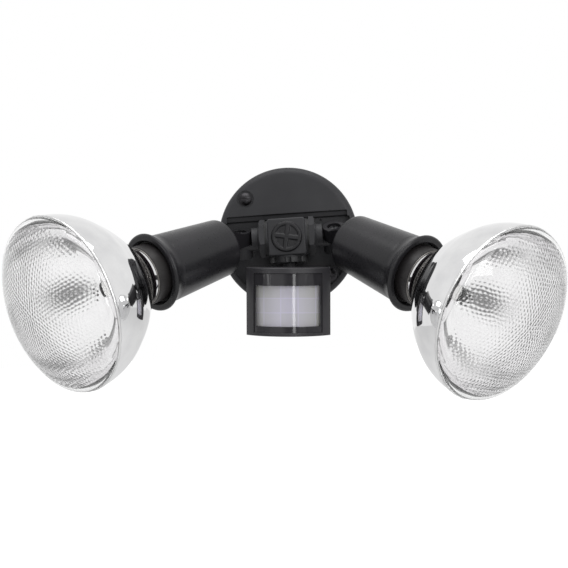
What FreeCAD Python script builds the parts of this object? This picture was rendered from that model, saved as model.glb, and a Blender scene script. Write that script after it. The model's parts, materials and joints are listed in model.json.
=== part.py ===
import FreeCAD, Part
import math
import os
import Sketcher
from FreeCAD import Placement, Rotation, Vector

# Motion sensor security light: two floodlight heads and a motion sensor on a round canopy.
# Millimetres and degrees. Z is up, the wall is the plane Y = 0 and the light stands out
# towards -Y. The origin is the centre of the back face, where the gasket meets the wall.

# Driving dimensions. Heights of the canopy are measured out from the wall.
SIZES = {
    # canopy and its gasket
    "gasket_thickness": 2.5,
    "gasket_inner_radius": 38.0,
    "gasket_edge_inset": 0.5,
    "canopy_radius": 54.5,
    "canopy_front": 14.0,
    "canopy_crown": 0.8,
    "canopy_edge": 6.0,
    "canopy_wall": 3.0,
    "recess_floor": 8.5,
    "recess_rim": 4.2,
    "crease_height": 18.4,
    "crease_foot": 13.4,
    "crease_half_length": 47.0,
    "ledge_front": 12.0,
    "ledge_drop": 0.6,
    "riser_run": 0.9,
    "dimple_radius": 0.9,
    "dimple_across": 26.0,
    "dimple_height": 11.6,
    "dimple_depth": 2.0,
    # hub and its ports
    "hub_width": 28.6,
    "hub_height": 28.2,
    "hub_front": 42.0,
    "hub_wall": 3.6,
    "hub_corner": 2.2,
    "hub_front_edge": 1.2,
    "port_height": -1.0,
    "port_depth": 27.6,
    "port_radius": 10.25,
    "boss_radius": 13.6,
    "boss_rise": 1.3,
    # screws through the canopy
    "screw_circle": 88.9,
    "screw_angle": 135.0,
    "screw_seat": 13.0,
    "screw_column_radius": 6.6,
    "screw_radius": 2.08,
    "screw_hole_radius": 2.35,
    "screw_shank_radius": 2.25,
    "screw_shank_reach": 0.4,
    "screw_head_radius": 5.0,
    "screw_head_height": 2.9,
    "screw_tail": 12.0,
    "slot_width": 1.3,
    "slot_depth": 1.2,
    "ground_height": 33.5,
    "ground_boss_radius": 4.2,
    "ground_boss_back": 6.0,
    "ground_screw_radius": 1.7,
    "ground_head_radius": 3.4,
    "ground_head_height": 2.0,
    # closure plug
    "plug_radius": 11.7,
    "plug_height": 2.2,
    "plug_recess": 1.0,
    "plug_rim": 2.3,
    "plug_bar": 2.4,
    # threads and clearances
    "thread_radius": 10.2,
    "thread_bore": 5.5,
    "bore_clearance": 0.15,
    "running_gap": 0.3,
    "fit_gap": 0.05,
    # arm nut and washer
    "arm_nut_flats": 26.0,
    "arm_nut_thickness": 4.4,
    "arm_gasket_thickness": 1.2,
    "nut_chamfer": 0.9,
    # arms and knuckles
    "pivot_across": 36.0,
    "neck_radius": 8.8,
    "ear_radius": 8.6,
    "arm_ear_thickness": 10.5,
    "holder_ear_thickness": 10.0,
    "ear_gap": 0.6,
    "clamp_drop": 3.0,
    "knuckle_screw_radius": 2.5,
    "knuckle_head_radius": 4.6,
    "knuckle_head_height": 2.8,
    "knuckle_head_sink": 3.4,
    "knuckle_nut_flats": 9.4,
    "knuckle_nut_thickness": 3.2,
    "wire_hole_radius": 1.6,
    "wire_hole_reach": 5.9,
    "wire_groove_depth": 3.0,
    "wire_groove_radius": 7.7,
    "wire_bore_radius": 1.9,
    # lampholders
    "holder_setback": 20.0,
    "holder_length": 71.5,
    "holder_back_radius": 21.8,
    "holder_front_radius": 24.9,
    "holder_corner": 4.0,
    "holder_wall": 3.1,
    "flare_radius": 28.4,
    "flare_length": 12.0,
    "lip_round": 1.9,
    "mouth_radius": 22.5,
    "mouth_depth": 8.5,
    "mouth_chamfer": 1.4,
    "gusset_start": 4.0,
    "gusset_rise": 15.0,
    "gusset_drop": 12.5,
    # socket in the lampholder
    "socket_radius": 18.2,
    "socket_rise": 12.5,
    "socket_floor_depth": 35.0,
    "socket_floor": 7.0,
    "socket_shell_radius": 14.0,
    "socket_shell_wall": 0.5,
    "socket_post_across": 9.0,
    "socket_post_radius": 3.5,
    "socket_screw_radius": 1.6,
    "socket_screw_head": 2.8,
    "socket_screw_length": 16.0,
    "leaf_thickness": 0.6,
    "leaf_width": 5.0,
    # rubber ring in the mouth
    "mouth_gasket_gap": 0.15,
    "mouth_gasket_height": 5.0,
    # lamps
    "lamp_radius": 60.5,
    "lamp_seam_ahead": 76.8,
    "lens_rise": 25.1,
    "lens_shoulder_radius": 56.4,
    "lens_shoulder_rise": 7.7,
    "lamp_glass": 3.0,
    "bowl_radius": 50.2,
    "bowl_ahead": 47.0,
    "bowl_mid_radius": 38.4,
    "bowl_mid_ahead": 32.0,
    "waist_radius": 26.6,
    "waist_ahead": 21.5,
    "throat_radius": 20.3,
    "throat_ahead": 11.6,
    "skirt_radius": 19.5,
    "skirt_wall": 0.6,
    "skirt_rim_clearance": 1.2,
    "skirt_rim_lift": 0.6,
    "skirt_rim_edge": 1.0,
    "skirt_ahead": 9.3,
    "skirt_behind": 8.0,
    "neck_seat": 1.0,
    "screw_shell_radius": 13.1,
    "screw_shell_wall": 0.4,
    "screw_shell_depth": 30.0,
    "thread_pitch": 3.629,
    "thread_height": 0.6,
    "insulator_height": 2.2,
    "eyelet_radius": 4.6,
    "eyelet_height": 1.2,
    "burner_radius": 5.5,
    "burner_low": 16.0,
    "burner_length": 30.0,
    "lead_radius": 0.9,
    "lead_across": 3.6,
    # sensor stem and ball
    "ball_height": -36.0,
    "ball_radius": 8.5,
    "ball_cut": 6.4,
    "stem_neck_radius": 4.5,
    "stem_bore": 2.6,
    "stem_nut_radius": 14.6,
    "stem_nut_thickness": 4.0,
    "stem_nut_lobe": 3.0,
    "liner_radius": 10.4,
    "liner_reach": 5.2,
    "ball_clearance": 0.1,
    # sensor housing, measured from the ball
    "sensor_width": 61.5,
    "sensor_top": 12.8,
    "sensor_bottom": -36.7,
    "sensor_wall": 2.5,
    "rear_wall": 3.5,
    "rear_slope_top": -6.5,
    "rear_slope_ahead": 13.0,
    "sensor_deck": 6.0,
    "sensor_split": 22.0,
    "sensor_reach": 52.0,
    "sensor_curve": 38.0,
    "sensor_rear_radius": 15.0,
    "sensor_rear_angle": 19.0,
    "window_half_width": 25.0,
    "window_top": 8.9,
    "window_bottom": -34.2,
    "bezel_inset": 0.6,
    "bezel_flange": 1.0,
    "bezel_lip": 1.2,
    "bezel_gap": 0.2,
    "aperture_half_width": 23.35,
    "aperture_top": -0.1,
    "aperture_bottom": -29.6,
    "lens_thickness": 0.9,
    "lens_overlap": 1.0,
    "retainer_height": 6.0,
    "retainer_lug_across": 14.4,
    "retainer_lug_ahead": 9.0,
    "retainer_lug_radius": 3.2,
    "small_screw_radius": 1.4,
    "small_screw_head": 2.6,
    "small_screw_head_height": 1.8,
    "case_screw_across": 20.0,
    "case_screw_drop": 31.0,
    "case_column_radius": 3.9,
    "case_screw_seat": 11.0,
    "case_screw_length": 15.0,
    "case_boss_length": 5.5,
    "board_thickness": 1.6,
    "board_bottom": -27.0,
    "pir_radius": 4.6,
    "pir_height": 4.5,
    "pir_drop": 13.0,
    "photocell_radius": 2.6,
    "photocell_height": 2.0,
    "photocell_drop": 23.0,
    "relay_width": 19.0,
    "relay_height": 14.0,
    "relay_depth": 14.0,
    "control_across": 13.0,
    "control_ahead": 30.0,
    "control_height": 7.0,
    "control_depth": 9.0,
    "control_wall": 2.0,
    "control_grip": 3.5,
    "knob_radius": 5.5,
    "knob_height": 2.9,
    "knob_shaft_radius": 2.4,
    "slider_width": 5.0,
    "slider_depth": 4.4,
    "slider_travel": 8.0,
    # how the heads and the sensor are turned in the photograph
    "left_arm_turn": 18.6,
    "left_knuckle": 41.3,
    "right_arm_turn": 29.5,
    "right_knuckle": 38.6,
    "sensor_lean": 3.7,
    "sensor_tilt": 2.5,
}


# Sizes as sheet cells

class Size:
    """A number together with the sheet expression that gives it."""

    def __init__(self, value, text):
        self.value = value
        self.text = text

    def __add__(self, other):
        other = as_size(other)
        return Size(self.value + other.value, "(%s + %s)" % (self.text, other.text))

    def __sub__(self, other):
        other = as_size(other)
        return Size(self.value - other.value, "(%s - %s)" % (self.text, other.text))

    def __mul__(self, other):
        other = as_size(other)
        return Size(self.value * other.value, "%s * %s" % (self.text, other.text))

    def __truediv__(self, other):
        other = as_size(other)
        return Size(self.value / other.value, "%s / (%s)" % (self.text, other.text))

    def __neg__(self):
        return Size(-self.value, "(0 - %s)" % self.text)

    def __radd__(self, other):
        return as_size(other) + self

    def __rsub__(self, other):
        return as_size(other) - self

    def __rmul__(self, other):
        return as_size(other) * self


def as_size(number):
    """A plain number as a Size, so that both can stand in one sum."""
    if isinstance(number, Size):
        return number
    return Size(float(number), "(%.9f)" % number)


def leg(long_side, other_side):
    """The third side of a right triangle, from its longest side and one other."""
    square = long_side * long_side - other_side * other_side
    return Size(math.sqrt(square.value), "sqrt(%s)" % square.text)


class SizeSheet:
    """The document's spreadsheet: each size is a cell, read by its alias."""

    def __init__(self, document, table):
        self.sheet = document.addObject("Spreadsheet::Sheet", "Sizes")
        self.table = table
        for row, (alias, number) in enumerate(table.items(), start=1):
            self.sheet.set("A%d" % row, alias)
            self.sheet.set("B%d" % row, str(number))
            self.sheet.setAlias("B%d" % row, alias)

    def __getattr__(self, alias):
        return Size(self.table[alias], "Sizes.%s" % alias)


doc = FreeCAD.newDocument("security_light")
d = SizeSheet(doc, SIZES)
doc.recompute()


# Sketches

class Via:
    """A point that an arc passes through, between two corners of an outline."""

    def __init__(self, across, up):
        self.across = as_size(across)
        self.up = as_size(up)


class Cap:
    """An arc between two corners whose centre is on the sketch's vertical axis."""


class Circle:
    """A whole circle in a sketch."""

    def __init__(self, across, up, radius):
        self.across = as_size(across)
        self.up = as_size(up)
        self.radius = as_size(radius)


def corner(across, up, radius, start, end):
    """A round corner of an outline: an arc about a centre, from one angle to another."""
    points = []
    for angle in (start, (start + end) / 2.0, end):
        turn = math.radians(angle)
        points.append((across + radius * math.cos(turn), up + radius * math.sin(turn)))
    return [points[0], Via(*points[1]), points[2]]


def rectangle(low_across, low_up, high_across, high_up):
    return [(low_across, low_up), (high_across, low_up), (high_across, high_up), (low_across, high_up)]


def rounded_rectangle(low_across, low_up, high_across, high_up, radius):
    left, right = low_across + radius, high_across - radius
    low, high = low_up + radius, high_up - radius
    return (corner(left, low, radius, 180, 270) + corner(right, low, radius, 270, 360)
            + corner(right, high, radius, 0, 90) + corner(left, high, radius, 90, 180))


def hexagon(across_flats):
    reach = across_flats / math.sqrt(3.0)
    return [(reach * math.cos(math.radians(60 * k)), reach * math.sin(math.radians(60 * k)))
            for k in range(6)]


def fix_point(sketch, geometry, end, across, up):
    """Hold a point at its distances from the sketch's origin, bound to the sheet."""
    for kind, axis, size in (("DistanceX", -2, across), ("DistanceY", -1, up)):
        if size.value == 0 and "Sizes" not in size.text:
            sketch.addConstraint(Sketcher.Constraint("PointOnObject", geometry, end, axis))
            continue
        number = sketch.addConstraint(
            Sketcher.Constraint(kind, -1, 1, geometry, end, size.value))
        sketch.setExpression("Constraints[%d]" % number, size.text)


def draw_circle(sketch, circle):
    centre = Vector(circle.across.value, circle.up.value, 0)
    number = sketch.addGeometry(Part.Circle(centre, Vector(0, 0, 1), circle.radius.value))
    fix_point(sketch, number, 3, circle.across, circle.up)
    radius = sketch.addConstraint(Sketcher.Constraint("Radius", number, circle.radius.value))
    sketch.setExpression("Constraints[%d]" % radius, circle.radius.text)


def cap_middle(start, end):
    """The middle of the arc from start to end about a centre on the vertical axis."""
    height = (end.dot(end) - start.dot(start)) / (2.0 * (end.y - start.y))
    centre = Vector(0, height, 0)
    halfway = (start - centre) + (end - centre)
    return centre + halfway * ((start - centre).Length / halfway.Length)


def draw_outline(sketch, outline):
    """Draw a closed outline: lines, and arcs where a Via or Cap stands between two corners."""
    corners = []
    arcs = {}
    for point in outline:
        if isinstance(point, (Via, Cap)):
            arcs[len(corners) - 1] = point
        else:
            corners.append((as_size(point[0]), as_size(point[1])))
    places = [Vector(x.value, y.value, 0) for x, y in corners]
    edges = []
    for k, start in enumerate(places):
        end = places[(k + 1) % len(places)]
        if k not in arcs:
            edges.append((sketch.addGeometry(Part.LineSegment(start, end)), 1, 2))
            continue
        via = arcs[k]
        is_cap = isinstance(via, Cap)
        middle = cap_middle(start, end) if is_cap else Vector(via.across.value, via.up.value, 0)
        arc = sketch.addGeometry(Part.Arc(start, middle, end))
        forward = sketch.getPoint(arc, 1).distanceToPoint(start) < 1e-6
        edges.append((arc, 1, 2) if forward else (arc, 2, 1))
        if is_cap:
            sketch.addConstraint(Sketcher.Constraint("PointOnObject", arc, 3, -2))
            continue
        point = sketch.addGeometry(Part.Point(middle), True)
        fix_point(sketch, point, 1, via.across, via.up)
        sketch.addConstraint(Sketcher.Constraint("PointOnObject", point, 1, arc))
    for k, (edge, first, last) in enumerate(edges):
        before, _, before_last = edges[k - 1]
        sketch.addConstraint(Sketcher.Constraint("Coincident", before, before_last, edge, first))
        fix_point(sketch, edge, first, corners[k][0], corners[k][1])


def add_sketch(body, plane, outlines, offset=0):
    """A sketch on one of the body's own origin planes, moved along the plane's normal."""
    sketch = body.newObject("Sketcher::SketchObject", body.Label + "_sketch")
    support = [f for f in body.Origin.OriginFeatures if f.Role == plane + "_Plane"][0]
    sketch.AttachmentSupport = [(support, "")]
    sketch.MapMode = "FlatFace"
    offset = as_size(offset)
    sketch.AttachmentOffset = Placement(Vector(0, 0, offset.value), Rotation())
    sketch.setExpression("AttachmentOffset.Base.z", offset.text)
    for outline in outlines:
        if isinstance(outline, Circle):
            draw_circle(sketch, outline)
        else:
            draw_outline(sketch, outline)
    return sketch


# Features. A sketch on XY faces +Z, one on XZ faces -Y and one on YZ faces +X.

def new_body(label):
    body = doc.addObject("PartDesign::Body", label)
    body.Label = label
    return body


def extrude(body, kind, plane, outlines, length, offset, flip, both):
    sketch = add_sketch(body, plane, outlines, offset)
    feature = body.newObject("PartDesign::" + kind, body.Label + "_" + kind.lower())
    feature.Profile = sketch
    length = as_size(length)
    feature.Length = length.value
    feature.setExpression("Length", length.text)
    feature.Reversed = flip
    if both:
        feature.SideType = "Symmetric"
    sketch.Visibility = False
    body.Tip = feature
    return feature


def pad(body, plane, outlines, length, offset=0, flip=False, both=False):
    """Add material from the sketch along its normal, or against it if flipped."""
    return extrude(body, "Pad", plane, outlines, length, offset, flip, both)


def cut(body, plane, outlines, length, offset=0, flip=False, both=False):
    """Cut against the sketch's normal, or along it if flipped."""
    return extrude(body, "Pocket", plane, outlines, length, offset, flip, both)


def turn(body, outline, kind="Revolution"):
    """Turn an outline of (radius, height) points about the body's Z axis."""
    sketch = add_sketch(body, "XZ", [outline])
    feature = body.newObject("PartDesign::" + kind, body.Label + "_" + kind.lower())
    feature.Profile = sketch
    feature.ReferenceAxis = (sketch, ["V_Axis"])
    feature.Angle = 360
    sketch.Visibility = False
    body.Tip = feature
    return feature


def pattern_round(body, feature, count):
    """Repeat a feature in a full turn about the body's Z axis."""
    axis = [f for f in body.Origin.OriginFeatures if f.Role == "Z_Axis"][0]
    pattern = body.newObject("PartDesign::PolarPattern", body.Label + "_pattern")
    pattern.Originals = [feature]
    pattern.Axis = (axis, [""])
    pattern.Angle = 360
    pattern.Occurrences = count
    body.Tip = pattern
    return pattern


def combine(body, tool, kind):
    """Fuse another body into this one, or cut it out."""
    join = body.newObject("PartDesign::Boolean", body.Label + "_" + kind.lower())
    join.Group = [tool]
    join.Type = kind
    body.Tip = join
    return join


def round_edges(body, radius, wanted):
    """Fillet the edges of the body's last feature that the given test picks."""
    doc.recompute()
    base = body.Tip
    names = ["Edge%d" % (k + 1) for k, edge in enumerate(base.Shape.Edges) if wanted(edge)]
    fillet = body.newObject("PartDesign::Fillet", body.Label + "_fillet")
    fillet.Base = (base, names)
    fillet.Radius = radius.value
    fillet.setExpression("Radius", radius.text)
    body.Tip = fillet
    return fillet


# Placing and collecting the finished pieces

pieces = []


def place(body, frame):
    body.Placement = frame
    pieces.append(body)
    return body


def place_group(label, bodies):
    """Like pieces as separate solids in one named sub-part."""
    group = doc.addObject("Part::Compound", label)
    group.Label = label
    group.Links = bodies
    pieces.append(group)
    return group


def shift(across, along, up):
    values = [as_size(size).value for size in (across, along, up)]
    return Placement(Vector(*values), Rotation())


def quarter(axis, angle):
    return Placement(Vector(), Rotation(axis, angle))


ON_WALL = quarter(Vector(1, 0, 0), 90)
Z_TO_MINUS_Y = quarter(Vector(1, 0, 0), 90)
Z_TO_PLUS_Y = quarter(Vector(1, 0, 0), -90)
UPSIDE_DOWN = quarter(Vector(1, 0, 0), 180)


# Fasteners

def screw(label, radius, length, head_radius, head_height, recess="slot"):
    """A round-headed screw: its seat at Z = 0, the head above it and the shank below."""
    body = new_body(label)
    edge = head_height * 0.3
    tip = radius * 0.3
    turn(body, [(0, -length), (radius - tip, -length), (radius, tip - length), (radius, 0),
                (head_radius, 0), (head_radius, edge), Cap(), (0, head_height)])
    across = d.slot_width * (head_radius.value / d.screw_head_radius.value) / 2.0
    deep = head_height * 0.4
    outlines = [rectangle(-head_radius * 1.2, -across, head_radius * 1.2, across)]
    if recess == "cross":
        arm = head_radius * 0.55
        outlines = [[(-arm, -across), (-across, -across), (-across, -arm), (across, -arm),
                     (across, -across), (arm, -across), (arm, across), (across, across),
                     (across, arm), (-across, arm), (-across, across), (-arm, across)]]
        deep = head_height * 0.6
    cut(body, "XY", outlines, deep, offset=head_height)
    return body


def hex_nut(label, across_flats, thickness, bore_radius):
    """A hexagon nut on the XY plane, with its outer corners chamfered."""
    body = new_body(label)
    pad(body, "XY", [hexagon(across_flats), Circle(0, 0, bore_radius)], thickness)
    reach = across_flats / math.sqrt(3.0)
    flat = across_flats / 2.0
    beyond = reach + 1.0
    drop = d.nut_chamfer * (beyond - flat) / (reach - flat)
    turn(body, [(flat, thickness), (beyond, thickness), (beyond, thickness - drop)], "Groove")
    return body


def ring(label, inner_radius, outer_radius, thickness):
    body = new_body(label)
    pad(body, "XY", [Circle(0, 0, outer_radius), Circle(0, 0, inner_radius)], thickness)
    return body


# Canopy

def screw_points():
    """The two screw places on the canopy, across and up from its centre."""
    first = math.radians(d.screw_angle.value)
    radius = d.screw_circle / 2.0
    return [(radius * math.cos(a), radius * math.sin(a)) for a in (first, first + math.pi)]


def make_canopy():
    body = new_body("canopy")
    ceiling = d.recess_floor - d.canopy_wall
    top = d.canopy_front + d.canopy_crown
    face_radius = d.canopy_radius - d.canopy_edge
    cavity_radius = d.canopy_radius - d.canopy_wall
    turn(body, [(0, top), Cap()]
         + corner(face_radius, d.canopy_front - d.canopy_edge, d.canopy_edge, 90, 0)
         + [(d.canopy_radius, d.gasket_thickness), (cavity_radius, d.gasket_thickness),
            (cavity_radius, ceiling), (0, ceiling)])

    # recess below the crease, with a narrow ledge between it and the raised segment
    recess_radius = d.canopy_radius - d.recess_rim
    chord = leg(recess_radius, d.crease_foot)
    above = top + 2.0
    cut(body, "XY", [[(chord, d.crease_foot), (-chord, d.crease_foot), Via(0, -recess_radius)]],
        above - d.recess_floor, offset=above)
    below_foot = d.crease_foot - 1.0
    cut(body, "YZ", [[(below_foot, d.recess_floor), (d.crease_foot, d.recess_floor),
                      (d.crease_foot + d.riser_run, d.ledge_front - d.ledge_drop),
                      (d.crease_height - d.riser_run, d.ledge_front),
                      (d.crease_height, top), (d.crease_height, above), (below_foot, above)]],
        d.crease_half_length * 2.0, both=True)

    # hollow under the raised segment
    hollow_radius = face_radius - d.canopy_wall
    hollow_low = d.crease_height + d.canopy_wall
    chord = leg(hollow_radius, hollow_low)
    cut(body, "XY", [[(-chord, hollow_low), (chord, hollow_low), Via(0, hollow_radius)]],
        d.canopy_front - d.recess_floor, offset=ceiling, flip=True)

    # hub, with a round seat at each side port and at the port below
    half = d.hub_width / 2.0
    tall = d.hub_height / 2.0
    hub = rounded_rectangle(-half, d.port_height - tall, half, d.port_height + tall, d.hub_corner)
    pad(body, "XY", [hub], d.hub_front - ceiling, offset=ceiling)

    round_edges(body, d.hub_front_edge, lambda edge: edge.BoundBox.ZMin > d.hub_front.value - 0.01)
    seat = half + d.boss_rise
    pad(body, "YZ", [Circle(d.port_height, d.port_depth, d.boss_radius)], seat * 2.0, both=True)
    drop = tall + d.boss_rise
    pad(body, "XZ", [Circle(0, d.port_depth, d.boss_radius)], drop, offset=-d.port_height)

    # columns that the two screws pass through, open in front for their heads
    columns = [Circle(x, y, d.screw_column_radius) for x, y in screw_points()]
    pad(body, "XY", columns, d.screw_seat - d.gasket_thickness, offset=d.gasket_thickness)
    cut(body, "XY", columns[:1], 5.0, offset=d.screw_seat, flip=True)
    holes = [Circle(x, y, d.screw_hole_radius) for x, y in screw_points()]
    cut(body, "XY", holes, top, offset=top)

    # boss for the earthing screw, inside
    boss = [Circle(0, d.ground_height, d.ground_boss_radius)]
    pad(body, "XY", boss, d.canopy_front - d.canopy_wall - d.ground_boss_back,
        offset=d.ground_boss_back)
    cut(body, "XY", [Circle(0, d.ground_height, d.ground_screw_radius + d.bore_clearance)], 4.2,
        offset=d.ground_boss_back, flip=True)

    # room for the wires in the hub, and its four ports
    inner = half - d.hub_wall
    inner_tall = tall - d.hub_wall
    cavity = rectangle(-inner, d.port_height - inner_tall, inner, d.port_height + inner_tall)
    cut(body, "XY", [cavity], d.hub_front - d.hub_wall, flip=True)
    cut(body, "YZ", [Circle(d.port_height, d.port_depth, d.port_radius)], seat * 2.0 + 2.0,
        both=True)
    cut(body, "XZ", [Circle(0, d.port_depth, d.port_radius)], drop + 1.0,
        offset=-d.port_height, flip=True)
    cut(body, "XY", [Circle(0, d.port_height, d.port_radius)], d.hub_wall + 2.0,
        offset=d.hub_front + 1.0)
    cut(body, "XY", [Circle(d.dimple_across, d.dimple_height, d.dimple_radius)],
        d.dimple_depth + 1.0, offset=d.recess_floor + 1.0)
    place(body, ON_WALL)


def make_canopy_gasket():
    body = new_body("canopy_gasket")
    outer = d.canopy_radius - d.gasket_edge_inset
    holes = [Circle(x, y, d.screw_hole_radius) for x, y in screw_points()]
    pad(body, "XY", [Circle(0, 0, outer), Circle(0, 0, d.gasket_inner_radius)] + holes,
        d.gasket_thickness)
    place(body, ON_WALL)


def make_canopy_screws():
    bodies = []
    for number, (x, y) in enumerate(screw_points(), start=1):
        body = screw("canopy_screw_%d" % number, d.screw_radius, d.screw_seat + d.screw_tail,
                     d.screw_head_radius, d.screw_head_height)
        shank = d.screw_seat + d.screw_shank_reach
        pad(body, "XY", [Circle(0, 0, d.screw_shank_radius)], shank, offset=as_size(0) - shank)
        body.Placement = ON_WALL * shift(x, y, d.screw_seat)
        bodies.append(body)
    place_group("canopy_screws", bodies)


def make_ground_screw():
    body = screw("ground_screw", d.ground_screw_radius, d.ground_boss_back * 0.65,
                 d.ground_head_radius, d.ground_head_height)
    place(body, ON_WALL * shift(0, d.ground_height, d.ground_boss_back) * UPSIDE_DOWN)


def make_center_plug():
    """Closure plug with a raised rim and a plain cross."""
    body = new_body("center_plug")
    pad(body, "XY", [Circle(0, 0, d.plug_radius)], d.plug_height)
    pad(body, "XY", [Circle(0, 0, d.thread_radius)], d.hub_wall, flip=True)
    bar = d.plug_bar / 2.0
    reach = d.plug_radius - d.plug_rim
    end = leg(reach, bar)
    middle = reach * math.cos(math.radians(45))
    quadrant = cut(body, "XY", [[(bar, bar), (end, bar), Via(middle, middle), (bar, end)]],
                   d.plug_recess, offset=d.plug_height)
    pattern_round(body, quadrant, 4)
    place(body, ON_WALL * shift(0, d.port_height, d.hub_front))


# Heads. The arm's Z axis points out of the hub, the head's points out of the lampholder's mouth,
# and both have the knuckle's pin as their Y axis and its middle as their origin.

MOUTH = d.holder_setback + d.holder_length
SEAM = MOUTH + d.lamp_seam_ahead
HUB_SEAT = d.hub_width / 2.0 + d.boss_rise
EAR_TOP = d.holder_ear_thickness - d.clamp_drop
EAR_UNDERSIDE = d.arm_ear_thickness + d.clamp_drop


def head_frames(side):
    """The arm's and the head's placements on one side, in the photographed pose."""
    out = 1.0 if side == "right" else -1.0
    lean = math.radians(SIZES[side + "_arm_turn"])
    swing = math.radians(SIZES[side + "_knuckle"])
    pivot = Vector(out * d.pivot_across.value, -d.port_depth.value, d.port_height.value)
    pin = Vector(0, -math.sin(lean), math.cos(lean))
    outward = Vector(out, 0, 0)
    forward = Vector(0, -math.cos(lean), -math.sin(lean))
    aim = outward * math.sin(swing) + forward * math.cos(swing)
    arm = Placement(pivot, Rotation(pin.cross(outward), pin, outward, "ZYX"))
    head = Placement(pivot, Rotation(pin.cross(aim), pin, aim, "ZYX"))
    return arm, head


def make_arm_nut(side, arm):
    thickness = d.arm_nut_thickness
    nut = hex_nut(side + "_arm_nut", d.arm_nut_flats, thickness, d.thread_radius + d.bore_clearance)
    back = HUB_SEAT + d.arm_gasket_thickness - d.pivot_across
    place(nut, arm * shift(0, 0, back))


def make_arm_gasket(side, arm):
    washer = ring(side + "_arm_gasket", d.thread_radius + d.bore_clearance,
                  d.boss_radius - d.running_gap, d.arm_gasket_thickness)
    place(washer, arm * shift(0, 0, HUB_SEAT - d.pivot_across))


def make_swivel_arm(side, arm):
    body = new_body(side + "_swivel_arm")
    inner_end = d.hub_width / 2.0 - d.hub_wall - d.pivot_across
    shoulder = (HUB_SEAT + d.arm_gasket_thickness + d.arm_nut_thickness + d.running_gap
                - d.pivot_across)
    turn(body, [(0, inner_end), (d.thread_radius, inner_end), (d.thread_radius, shoulder),
                (d.neck_radius, shoulder + 1.0), (d.neck_radius, 0), (0, 0)])
    pad(body, "XZ", [Circle(0, 0, d.ear_radius)], d.arm_ear_thickness, offset=d.clamp_drop)
    edge = d.ear_radius + d.ear_gap
    cut(body, "XZ", [rectangle(-edge, -edge, edge, edge)], d.neck_radius + d.clamp_drop + 1.0,
        offset=d.clamp_drop)
    cut(body, "XZ", [Circle(0, 0, d.knuckle_screw_radius + d.bore_clearance)],
        d.arm_ear_thickness + 1.0, offset=d.clamp_drop, flip=True)
    nut_pocket = hexagon(d.knuckle_nut_flats + d.bore_clearance * 2.0)
    cut(body, "XZ", [nut_pocket], d.knuckle_nut_thickness + 0.4, offset=EAR_UNDERSIDE)

    # wire way: along the nipple, then down a narrow hole and up through the clamped faces
    bore_end = -edge - 1.2
    cut(body, "XY", [Circle(0, 0, d.thread_bore)], bore_end - inner_end, offset=inner_end,
        flip=True)
    hole = d.wire_hole_radius
    way = d.clamp_drop + hole + 1.0
    cut(body, "XY", [Circle(0, -way, hole)], -d.wire_hole_reach - bore_end + 1.0,
        offset=bore_end - 1.0, flip=True)
    cut(body, "XZ", [Circle(0, -d.wire_hole_reach, hole)], way - d.clamp_drop + 1.0, offset=way)
    place(body, arm)


def make_knuckle_fasteners(side, arm):
    nut_top = d.knuckle_nut_thickness + 0.4 - EAR_UNDERSIDE
    nut = hex_nut(side + "_knuckle_nut", d.knuckle_nut_flats, d.knuckle_nut_thickness,
                  d.knuckle_screw_radius + 0.05)
    place(nut, arm * shift(0, nut_top, 0) * Z_TO_MINUS_Y)
    seat = EAR_TOP - d.knuckle_head_sink
    length = seat + EAR_UNDERSIDE - 0.2
    pin = screw(side + "_knuckle_screw", d.knuckle_screw_radius, length, d.knuckle_head_radius,
                d.knuckle_head_height, recess="cross")
    place(pin, arm * shift(0, seat, 0) * Z_TO_PLUS_Y)


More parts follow.
